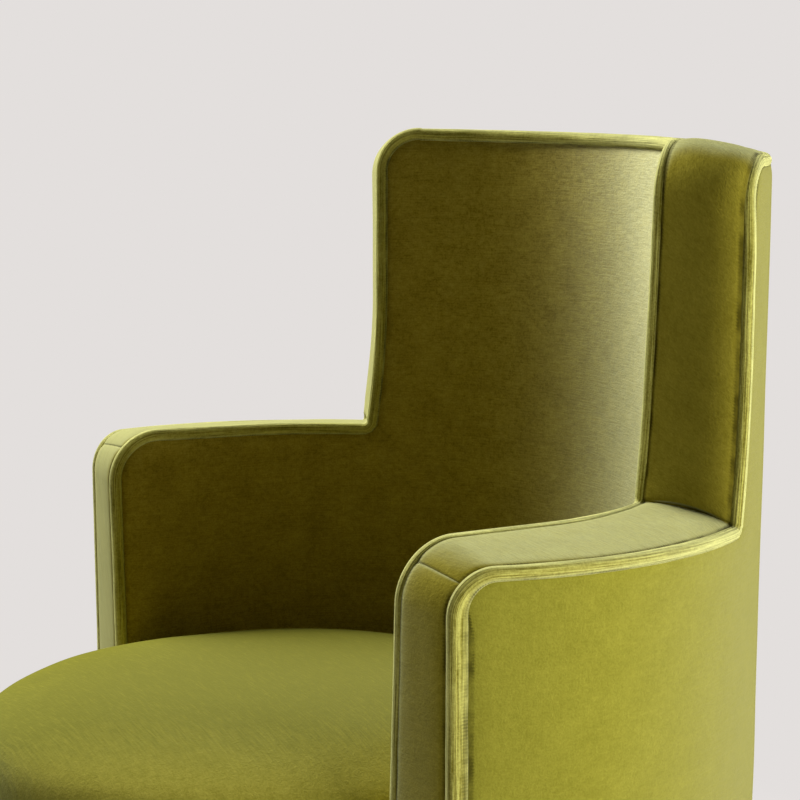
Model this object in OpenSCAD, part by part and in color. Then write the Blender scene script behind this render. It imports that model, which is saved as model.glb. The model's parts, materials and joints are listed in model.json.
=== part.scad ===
// Upholstered barrel swivel chair: welted tub wall, domed seat, ball-bearing column and four-leg base.
// Units are millimetres. The origin is on the floor, on the swivel axis, and the front faces -Y.

/* [Heights] */
// Height of the seat's crown above the floor
seat_height = 449.5; // [435:0.5:470]
// Height of the inner rim seam at the arms' front
arm_height = 600; // [570:1:640]
// Height of the inner rim seam along the back
back_height = 857; // [800:1:920]
// Height of the tub's lower edge
tub_bottom = 300; // [292:1:315]

/* [Tub wall] */
// How much wider in radius the lining is at arm height than the seat
seat_clearance = 10; // [9:0.5:16]
// Wall thickness round the barrel at arm height, face to face
wall_thickness = 81.3; // [74:0.1:95]
// Outward lean of the lining below arm height, in degrees
inner_flare_low = 2.5; // [1:0.1:3]
// Outward lean of the lining above arm height, in degrees
inner_flare_high = 1.9; // [1:0.1:3]
// Outward lean of the outer panel, in degrees
outer_flare = 0.3; // [0:0.1:2]
// How far the arms run in front of the barrel's centre
arm_reach = 104; // [80:1:125]
// How much further back the arm's front lies at the outer panel than at the lining
face_rake = 6.7; // [0:0.1:12]
// How far the lining opens towards the arms' fronts, in degrees
arm_toe = 3.4; // [0:0.1:5]
// Fall of the arms towards the back, in degrees
arm_slope = 1.7; // [0:0.1:3]
// Fall of the back's rim towards the rear, in degrees
back_slope = 1; // [0:0.1:3]
// Angle of the step behind the barrel's cross axis at the lining
step_angle_inner = 35; // [28:0.2:40]
// Angle of the step behind the barrel's cross axis at the outer panel
step_angle_outer = 33.8; // [28:0.2:40]
// How far the step's edge sweeps forward at its foot
step_sweep = 9.5; // [2:0.5:14]
// Height over which the step's edge sweeps forward
sweep_height = 130; // [80:1:160]
// How much lower the rim's outer seam lies than its inner seam
rim_fall = 9; // [0:0.5:14]
// Radius of the arm's top front corner at the lining
front_corner_inner = 39; // [24:1:50]
// Radius of the arm's top front corner at the outer panel
front_corner_outer = 28; // [20:1:50]
// Radius of the back's top corners
back_corner = 33; // [20:1:60]
// Radius of the inside corner where the back steps down to the arm
foot_radius = 8; // [7:1:16]

/* [Covers and welts] */
// Thickness of the velvet with its lining
cover_t = 2.5; // [1.5:0.5:3]
// Diameter of the covered welt cord
welt_d = 10.8; // [8:0.2:12]
// Crown of the boxing strip between the two welts
boxing_crown = 2.5; // [1:0.5:4]
// Height of the boxing strip's edges above the welts' centre line
boxing_rise = 1; // [0:0.5:2]

/* [Padding and boards] */
// Thickness of the foam behind the lining
inner_foam_t = 16; // [10:1:18]
// Thickness of the wadding behind the outer panel
outer_wadding_t = 4; // [3:0.5:6]
// Thickness of the padding under the boxing strip
rim_padding_t = 8; // [6:0.5:10]
// Thickness of the bent plywood boards
wall_board_t = 3; // [2:0.5:4]

/* [Timber frame] */
// Thickness of the plywood base board
base_board_t = 15; // [12:1:18]
// Height of the curved rails
rail_h = 24; // [18:1:30]
// Width of the upright posts along the wall
post_w = 36; // [28:1:44]
// Width of the seat's hoop
hoop_w = 26; // [20:1:34]
// Height of the seat's hoop
hoop_h = 30; // [26:1:32]

/* [Seat] */
// Radius of the seat at its fullest
seat_radius = 225.5; // [210:0.5:245]
// How far the seat's front circle lies in front of the barrel's centre
seat_forward = 90; // [60:1:100]
// How far the seat's crown lies in front of the barrel's centre
crown_forward = 70; // [40:1:80]
// Drop from the crown to the seat's fullest line
seat_dome = 61; // [50:1:66]
// Fall of the seat towards the back, in degrees
seat_tilt = 3.8; // [0:0.1:5]
// How far the seat's sides draw in below their fullest line
side_draw = 4; // [2:0.5:6]
// Width of a webbing belt
belt_w = 50; // [40:1:56]
// Pitch of the webbing belts
belt_pitch = 72; // [66:1:80]
// Thickness of the webbing
belt_t = 2; // [1.5:0.5:2.5]

/* [Swivel] */
// Diameter of the spindle
spindle_d = 30; // [26:1:32]
// Outer diameter of the column
column_d = 50; // [50:1:56]
// Wall of the column
column_wall = 3; // [2:0.5:3]
// Length of each bush
bush_l = 40; // [30:1:50]
// Thickness of each bearing washer
race_t = 3; // [2:0.5:4]
// Diameter of a bearing ball
ball_d = 6; // [5:0.5:7]
// Number of bearing balls
ball_count = 12; // [8:1:14]
// Side of the square seat plate
plate_side = 160; // [140:1:190]
// Thickness of the seat plate
plate_t = 5; // [4:0.5:6]
// Spacing of the seat plate's bolts
bolt_pitch = 120; // [100:1:124]

/* [Base] */
// Diameter of the hub
hub_d = 96; // [92:1:110]
// Height of the hub's top above the floor
hub_top = 92; // [84:1:110]
// Distance from the axis to a glide
glide_radius = 276; // [240:1:290]
// Width of a leg beside the hub
leg_w_hub = 46; // [40:1:52]
// Width of a leg at its end
leg_w_tip = 30; // [30:1:36]
// Height of a glide
glide_h = 12; // [10:1:14]
// Diameter of a glide
glide_d = 26; // [22:1:28]

/* [Hidden] */
$fn = 64;
gap = 0.3;
fit_gap = 0.05;
big = 900;
lap = 0.02;

// Colours
velvet = [0.52, 0.52, 0.12];
velvet_dark = [0.42, 0.42, 0.09];
foam_colour = [0.93, 0.90, 0.78];
wadding_colour = [0.95, 0.95, 0.93];
plywood = [0.80, 0.66, 0.45];
webbing_colour = [0.16, 0.16, 0.17];
cambric = [0.10, 0.10, 0.11];
steel = [0.62, 0.63, 0.65];
aluminium = [0.78, 0.78, 0.79];
nylon = [0.12, 0.12, 0.12];

// Tub wall, from the lining outwards. Each radius is taken at arm height.
welt_r = welt_d / 2;
inner_radius = seat_radius + seat_clearance;
seam_depth = [2.5, 4];
outer_radius = inner_radius + wall_thickness;
seam_in = inner_radius + seam_depth[0];
seam_out = outer_radius - seam_depth[1];
foam_in = inner_radius + cover_t + gap;
foam_out = foam_in + inner_foam_t;
inner_board_in = foam_out + gap;
inner_board_out = inner_board_in + wall_board_t;
frame_in = inner_board_out + gap;
panel_back = outer_radius - cover_t;
wadding_out = panel_back - gap;
wadding_in = wadding_out - outer_wadding_t;
outer_board_out = wadding_in - gap;
outer_board_in = outer_board_out - wall_board_t;
frame_out = outer_board_in - gap;
cover_inset = welt_r + gap;
padding_top = boxing_rise - cover_t - gap;
core_inset = rim_padding_t - padding_top + gap;
wall_base = tub_bottom + base_board_t + gap;

// The deepest reach to the front and to the back, which sets the barrel's place on the axis
front_reach = seat_forward + seat_radius;
back_reach = outer_at(seam_out, back_z(1, seam_out)) + welt_r;
barrel_y = (front_reach - back_reach) / 2;

function mix(a, b, q) = a + (b - a) * q;
function unit(v) = v / norm(v);
function arc_degrees(s, r) = s / r * 180 / PI;
function share(r) = (r - seam_in) / (seam_out - seam_in);

// Radii of the lining's side and of the outer side at a height, from their values at arm height
function inner_at(r, z) = r + (z - arm_height) * tan(z < arm_height ? inner_flare_low : inner_flare_high);
function outer_at(r, z) = r + (z - arm_height) * tan(outer_flare);

// The rim at share q of the wall's thickness: 0 at the inner seam and 1 at the outer seam
function seam_radius(q) = mix(seam_in, seam_out, q);
function step_at(q) = mix(step_angle_inner, step_angle_outer, q);
function reach_at(q) = arm_reach - face_rake * q;
function corner_at(q) = mix(front_corner_inner, front_corner_outer, q);
function arm_z(q, y) = arm_height - rim_fall * q - (y + arm_reach) * tan(arm_slope);
function back_z(q, y) = back_height - rim_fall * q - (y - inner_radius) * tan(back_slope);
function sweep_at(q) = step_sweep * seam_radius(q) / seam_in;
function sweep_out(q, up) = up > sweep_height ? 0 : sweep_at(q) * pow(1 - up / sweep_height, 2);
function heel(q) = sweep_out(q, foot_radius) + foot_radius;
function foot_z(q) = arm_z(q, seam_radius(q) * sin(step_at(q) - arc_degrees(heel(q), seam_radius(q))));
function crown_z(q) = back_z(q, seam_radius(q) * sin(step_at(q)));

// A point of the rim: s runs forward along the wall. The lining runs straight in front of the
// barrel, and the outer panel keeps to its circle.
function wall_angle(q, s) = q > 0 ? -arc_degrees(s, seam_out)
    : s >= 0 ? arm_toe : arm_toe - arc_degrees(s, seam_in);
function wall_point(q, s, z) =
    let (a = wall_angle(q, s), r = q > 0 ? outer_at(seam_out, z) : inner_at(seam_in, z),
        forward = q > 0 ? 0 : max(s, 0))
    [r * cos(a) + forward * sin(arm_toe), r * sin(a) - forward * cos(arm_toe), z];
function arc(cs, cz, r, from, to, steps) =
    [for (i = [0 : steps]) let (a = mix(from, to, i / steps)) [cs + r * cos(a), cz + r * sin(a)]];

// The rim's line on the unrolled wall, from the arm's front foot to the centre of the back
corner_steps = 5;
arm_steps = 8;
foot_steps = 4;
sweep_steps = 3;
back_steps = 9;
function rim_profile(q) =
    let (
        r = seam_radius(q),
        corner = corner_at(q),
        turn = q > 0 ? 0 : arm_toe,
        front_s = q > 0 ? r * asin(reach_at(q) / r) * PI / 180 : (r * sin(arm_toe) + arm_reach) / cos(arm_toe),
        corner_z = arm_z(q, corner - reach_at(q)) - corner,
        step_s = -(step_at(q) - turn) * PI / 180 * r,
        heel_s = step_s + heel(q),
        foot = foot_z(q),
        crown = crown_z(q),
        middle_s = -(90 - turn) * PI / 180 * r
    )
    concat(
        [[front_s, tub_bottom]],
        arc(front_s - corner, corner_z, corner, 0, 90, corner_steps),
        [for (i = [1 : arm_steps]) let (s = mix(front_s - corner, heel_s, i / arm_steps))
            [s, arm_z(q, wall_point(q, s, arm_height)[1])]],
        [for (i = [1 : foot_steps]) let (a = 270 - 90 * i / foot_steps)
            [heel_s + foot_radius * cos(a), foot + foot_radius * (1 + sin(a))]],
        [for (i = [1 : sweep_steps]) let (up = mix(foot_radius, sweep_height, i / sweep_steps))
            [step_s + sweep_out(q, up), foot + up]],
        arc(step_s - back_corner, crown - back_corner, back_corner, 0, 90, corner_steps),
        [for (i = [1 : back_steps]) let (s = mix(step_s - back_corner, middle_s, i / back_steps))
            [s, back_z(q, wall_point(q, s, back_height)[1])]]
    );
// Stations along the rim where one boxing strip ends and the next begins
front_seam_at = 1 + round(corner_steps * 0.6);
foot_seam_at = 1 + corner_steps + arm_steps + 2;
half_steps = 1 + corner_steps + arm_steps + foot_steps + sweep_steps + 1 + corner_steps + back_steps;
rim_last = 2 * half_steps;

// Every station of the whole rim as [point, wall normal], left side first, then mirrored
function rim_half(q) = [for (p = rim_profile(q)) let (a = wall_angle(q, p[0]))
    [wall_point(q, p[0], p[1]), [cos(a), sin(a), 0]]];
function mirror_station(a) = [[-a[0][0], a[0][1], a[0][2]], [-a[1][0], a[1][1], a[1][2]]];
function rim_line(q) =
    let (h = rim_half(q), n = len(h))
    concat(h, [for (i = [n - 2 : -1 : 0]) mirror_station(h[i])]);
function along(line, i) = line[min(i + 1, len(line) - 1)][0] - line[max(i - 1, 0)][0];

// A closed tube or strip through rings of an even number of points
module strip(rings) {
    m = len(rings[0]);
    n = len(rings);
    sides = [for (i = [0 : n - 2]) for (j = [0 : m - 1])
        each [[i * m + j, i * m + (j + 1) % m, (i + 1) * m + (j + 1) % m],
            [i * m + j, (i + 1) * m + (j + 1) % m, (i + 1) * m + j]]];
    ends = [for (j = [0 : m / 2 - 2])
        each [[j, m - 2 - j, j + 1], [j, m - 1 - j, m - 2 - j]]];
    start = [for (f = ends) f];
    finish = [for (f = ends) [for (k = [2 : -1 : 0]) (n - 1) * m + f[k]]];
    polyhedron(points = [for (r = rings) each r], faces = concat(sides, start, finish), convexity = 8);
}

// A closed form between a first point, level rings and a last point
module dome(first, rings, last) {
    m = len(rings[0]);
    n = len(rings);
    sides = [for (i = [0 : n - 2]) for (j = [0 : m - 1])
        each [[1 + i * m + j, 1 + (i + 1) * m + (j + 1) % m, 1 + i * m + (j + 1) % m],
            [1 + i * m + j, 1 + (i + 1) * m + j, 1 + (i + 1) * m + (j + 1) % m]]];
    top = [for (j = [0 : m - 1]) [0, 1 + j, 1 + (j + 1) % m]];
    bottom = [for (j = [0 : m - 1]) let (k = 1 + (n - 1) * m) [n * m + 1, k + (j + 1) % m, k + j]];
    polyhedron(points = concat([first], [for (r = rings) each r], [last]),
        faces = concat(sides, top, bottom), convexity = 8);
}

// A welt: a round tube along the rim at share q of the wall
welt_sides = 8;
module rim_welt(q) {
    line = rim_line(q);
    strip([for (i = [0 : len(line) - 1])
        let (out = line[i][1], up = unit(cross(out, along(line, i))))
        [for (j = [0 : welt_sides - 1]) let (a = 360 * j / welt_sides)
            line[i][0] + welt_r * (cos(a) * out + sin(a) * up)]]);
}

// A strip that spans the rim between the welts, from station first to station last
module rim_band(first, last, top, thickness, crown, columns) {
    inner = rim_line(0);
    outer = rim_line(1);
    strip([for (i = [first : last])
        let (across = outer[i][0] - inner[i][0],
            up = unit(cross(across, along(inner, i) + along(outer, i))),
            edge = (welt_r + gap) / norm(across),
            shares = [for (k = [0 : columns]) mix(edge, 1 - edge, k / columns)],
            surface = [for (q = shares) mix(inner[i][0], outer[i][0], q) + up * (top + crown * 4 * q * (1 - q))])
        concat(surface, [for (k = [columns : -1 : 0]) surface[k] - up * thickness])]);
}

module at_barrel() {
    translate([0, barrel_y, 0]) children();
}

module right_side() {
    mirror([1, 0, 0]) children();
}

// A section of the wall on the lining's side, bent where it passes arm height
function bend(r, z1) = z1 > arm_height ? [[r, arm_height]] : [];
function inner_section(r_in, r_out, z0, z1) = concat([[inner_at(r_in, z0), z0], [inner_at(r_out, z0), z0]],
    bend(r_out, z1), [[inner_at(r_out, z1), z1], [inner_at(r_in, z1), z1]], bend(r_in, z1));

// A shell round the lining, with straight arms in front
module inner_shell(r_in, r_out, z0, z1) {
    section = inner_section(r_in, r_out, z0, z1);
    join = 0.5;
    rotate([0, 0, arm_toe])
        rotate_extrude(angle = 180 - 2 * arm_toe, $fn = 96)
            polygon(section);
    for (side = [0, 1])
        mirror([side, 0, 0])
            rotate([0, 0, arm_toe])
                translate([0, join, 0])
                    rotate([90, 0, 0])
                        linear_extrude(height = 2 * arm_reach + join)
                            polygon(section);
}

// A shell round the outer side, which keeps to its circle
module outer_shell(r_in, r_out, z0, z1) {
    rotate([0, 0, -30])
        rotate_extrude(angle = 240, $fn = 96)
            polygon([[outer_at(r_in, z0), z0], [outer_at(r_out, z0), z0],
                [outer_at(r_out, z1), z1], [outer_at(r_in, z1), z1]]);
}

// What the rim's outline takes off the wall's left side, inset from the seam at share q
module rim_cut(q, inset) {
    intersection() {
        rotate([0, 0, step_at(q)])
            mirror([0, 1, 0])
                translate([inner_radius / 2, 0, 0])
                    rotate([90, 0, 90])
                        linear_extrude(height = inner_radius)
                            step_outline(q, inset);
        translate([0, -arm_reach, arm_z(q, -arm_reach) - inset])
            rotate([-arm_slope, 0, 0])
                translate([0, -big / 2, 0])
                    cube([big, 2 * big, big]);
    }
    rotate([90, 0, 90])
        linear_extrude(height = big)
            front_outline(q, inset);
}

// Everything in front of the step and above its foot, with the back's top corner
module step_outline(q, inset) {
    foot = foot_z(q);
    crown = crown_z(q);
    bend = foot + sweep_height;
    bend_r = sweep_height * sweep_height / (2 * sweep_at(q));
    translate([heel(q), foot + foot_radius]) circle(r = foot_radius + inset);
    translate([heel(q), foot - inset - 20]) square([big, big]);
    translate([-inset, bend]) square([big, big]);
    intersection() {
        translate([bend_r - lap, bend]) circle(r = bend_r + inset, $fn = 360);
        translate([-inset, foot + foot_radius]) square([heel(q) + foot_radius + inset, sweep_height]);
    }
    difference() {
        translate([-back_corner, crown - back_corner]) square([back_corner, back_corner + 60]);
        translate([-back_corner, crown - back_corner]) circle(r = back_corner - inset + lap);
    }
}

// Everything in front of the arm, with its rounded top corner
module front_outline(q, inset) {
    front = -reach_at(q);
    corner = corner_at(q);
    corner_z = arm_z(q, front + corner) - corner;
    translate([front + inset - big, 0]) square([big, 2 * big]);
    difference() {
        translate([front, corner_z]) square([corner + 0.5, corner + 60]);
        translate([front + corner, corner_z]) circle(r = corner - inset + lap);
    }
}

// A shell of the wall cut to the rim's outline
module cut_to_rim(q, inset) {
    difference() {
        children();
        rim_cut(q, inset);
        right_side() rim_cut(q, inset);
        translate([-big, inner_radius, back_height - rim_fall * q - inset])
            rotate([-back_slope, 0, 0])
                translate([0, -big, 0])
                    cube([2 * big, 2 * big, big]);
    }
}

module inner_layer(r_in, r_out, z0, inset) {
    cut_to_rim(max(share(r_out), 0), inset)
        inner_shell(r_in, r_out, z0, back_height + 20);
}

module outer_layer(r_in, r_out, z0, inset) {
    cut_to_rim(min(share(r_out), 1), inset)
        outer_shell(r_in, r_out, z0, back_height + 20);
}

// The seat's outline from its crown point, and the forms that follow it
seat_sides = 40;
seat_chord = 2 * (crown_forward + seat_radius) * sin(180 / seat_sides);
facet_fall = seat_chord * seat_chord / (8 * seat_radius);
inside_cover = seat_radius - side_draw - cover_t - facet_fall - gap;
function seat_reach(a, r) =
    let (c = cos(a), s = sin(a), side = r / max(abs(c), 0.0001), y = -crown_forward + side * s)
    y > 0 ? crown_forward * s + sqrt(r * r - pow(crown_forward * c, 2))
    : y < -seat_forward ? let (d = seat_forward - crown_forward) -d * s + sqrt(r * r - pow(d * c, 2))
    : side;
function seat_point(a, r, share, z, lean) =
    let (reach = seat_reach(a, r) * share)
    [reach * cos(a), reach * sin(a) - crown_forward, z - lean * reach * sin(a) * tan(seat_tilt)];
function seat_ring(r, share, z, lean) =
    [for (j = [0 : seat_sides - 1]) seat_point(360 * j / seat_sides, r, share, z, lean)];
function dome_z(share) = seat_height - seat_dome * (1 - pow(1 - pow(share, 2.6), 1 / 2.2));
dome_shares = [0.25, 0.45, 0.62, 0.75, 0.85, 0.92, 0.97, 0.993, 1];
full_z = seat_height - seat_dome;
seat_base = tub_bottom + base_board_t + gap;
hoop_z = tub_bottom + base_board_t;
belt_z = hoop_z + hoop_h + gap;
foam_z = belt_z + 2 * belt_t + 2 * gap;
skirt_z = tub_bottom;
apron_y = -(arm_reach + welt_d);

// The cover's lower edge reaches the board's underside in front of the arms
function skirt_ring(r) = [for (j = [0 : seat_sides - 1])
    let (p = seat_point(360 * j / seat_sides, r, 1, 0, 0)) [p[0], p[1], p[1] < apron_y ? skirt_z : seat_base]];
function seat_surface(inset) = concat(
    [for (s = dome_shares) seat_ring(seat_radius - inset, s, dome_z(s) - inset, 1)],
    [seat_ring(seat_radius - inset - side_draw / 2, 1, mix(full_z, seat_base, 0.55), 0.45),
        seat_ring(seat_radius - inset - side_draw, 1, seat_base + 12, 0)]);

module seat_plan(r) {
    circle(r = r);
    translate([0, -seat_forward]) circle(r = r);
    translate([-r, -seat_forward]) square([2 * r, seat_forward]);
}

// Heights and radii of the swivel
hub_base = 26;
hub_shelf = 36;
hub_r = hub_d / 2;
column_r = column_d / 2;
column_bore = column_r - column_wall;
spindle_r = spindle_d / 2;
hub_bore = column_bore - 2;
plate_z = tub_bottom - 1 - 2 * gap - plate_t;
head_t = 12;
race_top = plate_z - head_t;
ball_r = ball_d / 2;
ball_z = race_top - race_t - fit_gap - ball_r;
race_floor = ball_z - ball_r - fit_gap - race_t;
flange_t = 3;
column_top = race_floor - flange_t - fit_gap;
race_in = spindle_r + 1;
race_out = column_r + 2;
ball_path = (race_in + race_out) / 2;
shroud_r = race_out + 4;
clip_t = 2;
clip_top = hub_shelf - 1;
spindle_end = hub_base + 5;

// Legs
leg_angles = [45, 135, 225, 315];
leg_low = glide_h;
tongue_in = column_r + 3;
tongue_w = 24;
tongue_z0 = hub_base + 4;
tongue_z1 = tongue_z0 + 22;
leg_bolt_x = (tongue_in + hub_r) / 2;
leg_bolt_r = 3;
leg_bolt_l = 18;
glide_stem_r = 5;
glide_stem_l = 14;

module glides() {
    color(nylon)
        for (a = leg_angles)
            rotate([0, 0, a])
                translate([glide_radius, 0, 0]) {
                    cylinder(d = glide_d, h = glide_h - 4);
                    translate([0, 0, glide_h - 4]) cylinder(d1 = glide_d, d2 = glide_d - 8, h = 4 - gap);
                    translate([0, 0, glide_h - 1]) cylinder(r = glide_stem_r - fit_gap, h = glide_stem_l);
                }
}

module leg_side_outline() {
    tip = glide_radius + leg_w_tip / 2;
    polygon([[hub_r - 10, hub_base + 4], [hub_r - 10, hub_top - 10], [hub_r + 14, hub_top - 12],
        [tip - 20, leg_low + 24], [tip, leg_low + 18], [tip + 1, leg_low],
        [tip - leg_w_tip - 6, leg_low], [hub_r + 60, hub_base + 4]]);
}

module leg_plan_outline() {
    polygon([[0, -leg_w_hub / 2], [0, leg_w_hub / 2], [glide_radius, leg_w_tip / 2],
        [glide_radius, -leg_w_tip / 2]]);
    translate([glide_radius, 0]) circle(d = leg_w_tip);
}

// A leg, with the tongue that slots into the hub
module leg(angle) {
    color(aluminium)
        rotate([0, 0, angle])
            difference() {
                union() {
                    difference() {
                        intersection() {
                            rotate([90, 0, 0])
                                linear_extrude(height = 2 * leg_w_hub, center = true)
                                    leg_side_outline();
                            linear_extrude(height = 2 * hub_top)
                                leg_plan_outline();
                        }
                        cylinder(r = hub_r + fit_gap, h = 2 * hub_top);
                    }
                    translate([tongue_in, -tongue_w / 2, tongue_z0])
                        cube([hub_r - tongue_in + 12, tongue_w, tongue_z1 - tongue_z0]);
                }
                translate([leg_bolt_x, 0, 0])
                    cylinder(r = leg_bolt_r + fit_gap, h = hub_base + leg_bolt_l);
                translate([glide_radius, 0, leg_low - 1])
                    cylinder(r = glide_stem_r, h = glide_stem_l + 1);
            }
}

module base_leg_front_left() {
    leg(315);
}

module base_leg_front_right() {
    leg(225);
}

module base_leg_rear_left() {
    leg(45);
}

module base_leg_rear_right() {
    leg(135);
}

module leg_bolts() {
    color(steel)
        for (a = leg_angles)
            rotate([0, 0, a])
                translate([leg_bolt_x, 0, hub_base]) {
                    translate([0, 0, -4]) cylinder(r = 5, h = 4);
                    cylinder(r = leg_bolt_r, h = leg_bolt_l - 1);
                }
}

module base_hub() {
    color(aluminium)
        difference() {
            translate([0, 0, hub_base]) cylinder(d = hub_d, h = hub_top - hub_base);
            translate([0, 0, hub_shelf]) cylinder(r = column_r + fit_gap, h = hub_top);
            translate([0, 0, hub_base - 1]) cylinder(r = hub_bore, h = hub_top);
            for (a = leg_angles)
                rotate([0, 0, a]) {
                    translate([tongue_in - fit_gap, -tongue_w / 2 - fit_gap, tongue_z0 - fit_gap])
                        cube([hub_r, tongue_w + 2 * fit_gap, tongue_z1 - tongue_z0 + 2 * fit_gap]);
                    translate([leg_bolt_x, 0, hub_base - 1])
                        cylinder(r = leg_bolt_r + fit_gap, h = 6);
                }
        }
}

module hub_cap() {
    color(nylon)
        translate([0, 0, hub_base - 2]) {
            cylinder(r = hub_bore + 3, h = 2 - gap);
            cylinder(r = hub_bore - fit_gap, h = 4);
        }
}

module column_tube() {
    color(steel)
        translate([0, 0, hub_shelf])
            difference() {
                cylinder(r = column_r, h = column_top - hub_shelf);
                translate([0, 0, -1]) cylinder(r = column_bore, h = column_top);
            }
}

module bush(z0, flange) {
    color(nylon)
        difference() {
            union() {
                translate([0, 0, z0]) cylinder(r = column_bore - fit_gap, h = bush_l);
                if (flange)
                    translate([0, 0, z0 + bush_l]) cylinder(r = column_r, h = flange_t);
            }
            translate([0, 0, z0 - 1]) cylinder(r = spindle_r + fit_gap, h = bush_l + flange_t + 2);
        }
}

module lower_bush() {
    bush(hub_shelf, false);
}

module upper_bush() {
    bush(column_top - bush_l, true);
}

module race(z0) {
    color(steel)
        translate([0, 0, z0])
            difference() {
                cylinder(r = race_out, h = race_t);
                translate([0, 0, -1]) cylinder(r = race_in, h = race_t + 2);
            }
}

module lower_race() {
    race(race_floor);
}

module upper_race() {
    race(race_top - race_t);
}

module ball_cage() {
    cage_h = ball_r;
    color("goldenrod")
        difference() {
            translate([0, 0, ball_z - cage_h / 2]) cylinder(r = ball_path + ball_r + 1.2, h = cage_h);
            translate([0, 0, ball_z - cage_h]) cylinder(r = ball_path - ball_r - 1.2, h = 2 * cage_h);
            for (i = [0 : ball_count - 1])
                rotate([0, 0, 360 * i / ball_count])
                    translate([ball_path, 0, ball_z - cage_h]) cylinder(r = ball_r + 0.2, h = 2 * cage_h);
        }
}

module bearing_balls() {
    color(steel)
        for (i = [0 : ball_count - 1])
            rotate([0, 0, 360 * i / ball_count])
                translate([ball_path, 0, ball_z]) sphere(r = ball_r);
}

// The boss under the seat plate, with the shroud that hides the bearing
module swivel_head() {
    skirt = race_floor - flange_t;
    color(steel)
        rotate_extrude()
            polygon([[spindle_r + fit_gap, race_top], [race_out + 1, race_top], [race_out + 1, skirt],
                [shroud_r, skirt], [shroud_r, plate_z], [spindle_r + fit_gap, plate_z]]);
}

module spindle() {
    groove = 1.5;
    color(steel)
        rotate_extrude()
            polygon([[0, spindle_end], [spindle_r - 1, spindle_end], [spindle_r - 1, clip_top - clip_t],
                [spindle_r - groove, clip_top - clip_t], [spindle_r - groove, clip_top],
                [spindle_r, clip_top], [spindle_r, plate_z], [0, plate_z]]);
}

module retaining_ring() {
    color(steel)
        translate([0, 0, clip_top - clip_t + fit_gap])
            difference() {
                cylinder(r = hub_bore - 1, h = clip_t - 2 * fit_gap);
                translate([0, 0, -1]) cylinder(r = spindle_r - 1.4, h = clip_t + 2);
            }
}

// Seat plate and its bolts
bolt_r = 4;
nut_r = 5.5;
module plate_bolt_places() {
    for (x = [-1, 1], y = [-1, 1])
        translate([x * bolt_pitch / 2, y * bolt_pitch / 2, 0]) children();
}

module seat_plate() {
    corner = 14;
    half = plate_side / 2 - corner;
    color(steel)
        difference() {
            translate([0, 0, plate_z])
                linear_extrude(height = plate_t) {
                    square([plate_side, 2 * half], center = true);
                    square([2 * half, plate_side], center = true);
                    for (x = [-half, half], y = [-half, half])
                        translate([x, y]) circle(r = corner);
                }
            plate_bolt_places() translate([0, 0, plate_z - 1]) cylinder(r = bolt_r + 0.5, h = plate_t + 2);
        }
}

module plate_bolts() {
    color(steel)
        plate_bolt_places() {
            translate([0, 0, plate_z - 5]) cylinder(r = 7, h = 5);
            translate([0, 0, plate_z]) cylinder(r = bolt_r, h = tub_bottom + base_board_t - plate_z);
        }
}

module tee_nuts() {
    color(steel)
        plate_bolt_places()
            difference() {
                union() {
                    translate([0, 0, tub_bottom + 2]) cylinder(r = nut_r, h = base_board_t - 2 + 0.5);
                    translate([0, 0, tub_bottom + base_board_t]) cylinder(r = 11, h = 1.5);
                }
                translate([0, 0, tub_bottom]) cylinder(r = bolt_r + fit_gap, h = base_board_t + 4);
            }
}

// The outline under wall and seat: the barrel's circle behind, the seat's circle in front
frame_q = share(frame_out);
board_front = core_inset - reach_at(frame_q);
module board_plan(r, inset) {
    intersection() {
        circle(r = r);
        translate([-big / 2, board_front + inset]) square([big, big]);
    }
    translate([0, -seat_forward]) circle(r = inside_cover - inset);
}

module base_board() {
    color(plywood)
        difference() {
            at_barrel()
                translate([0, 0, tub_bottom])
                    linear_extrude(height = base_board_t)
                        board_plan(outer_at(frame_out, tub_bottom), 0);
            plate_bolt_places() translate([0, 0, tub_bottom - 1]) cylinder(r = nut_r + 0.1, h = base_board_t + 2);
        }
}

module dust_cover() {
    color(cambric)
        difference() {
            at_barrel()
                translate([0, 0, tub_bottom - 1 - gap])
                    linear_extrude(height = 1)
                        board_plan(outer_at(wadding_out, tub_bottom), 1);
            plate_bolt_places() translate([0, 0, plate_z]) cylinder(r = bolt_r + 0.5, h = plate_t + 4);
        }
}

// Timber frame of the wall, in the space between the two boards
module frame_zone(z0, z1) {
    intersection() {
        inner_shell(frame_in, frame_in + wall_thickness, z0, z1);
        translate([0, 0, z0]) cylinder(r1 = outer_at(frame_out, z0), r2 = outer_at(frame_out, z1), h = z1 - z0);
    }
}

bottom_rail_top = tub_bottom + base_board_t + rail_h;
arm_rail_low = foot_z(frame_q) - core_inset - rail_h;
back_rail_top = back_z(frame_q, frame_out) - core_inset;
post_angle = arc_degrees(post_w, frame_in);
step_post_from = step_angle_inner + arc_degrees(core_inset, frame_in);
arm_rail_end = frame_in * sin(step_angle_inner - arc_degrees(heel(0) + 3, frame_in));

module wall_bottom_rail() {
    color(plywood)
        at_barrel()
            intersection() {
                frame_zone(tub_bottom + base_board_t, bottom_rail_top);
                translate([-big / 2, board_front, 0]) cube([big, big, big]);
            }
}

module arm_rail() {
    color(plywood)
        at_barrel()
            intersection() {
                cut_to_rim(frame_q, core_inset) frame_zone(arm_rail_low, arm_height);
                translate([0, arm_rail_end - big, 0]) cube([big, big, big]);
            }
}

module arm_rail_left() {
    arm_rail();
}

module arm_rail_right() {
    right_side() arm_rail();
}

module back_top_rail() {
    from = step_post_from + arc_degrees(back_corner, frame_in) / 2;
    z0 = back_rail_top - rail_h;
    color(plywood)
        at_barrel()
            rotate([0, 0, from])
                rotate_extrude(angle = 180 - 2 * from, $fn = 96)
                    polygon([[inner_at(frame_in, z0), z0], [outer_at(frame_out, z0), z0],
                        [outer_at(frame_out, back_rail_top), back_rail_top],
                        [inner_at(frame_in, back_rail_top), back_rail_top]]);
}

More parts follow.
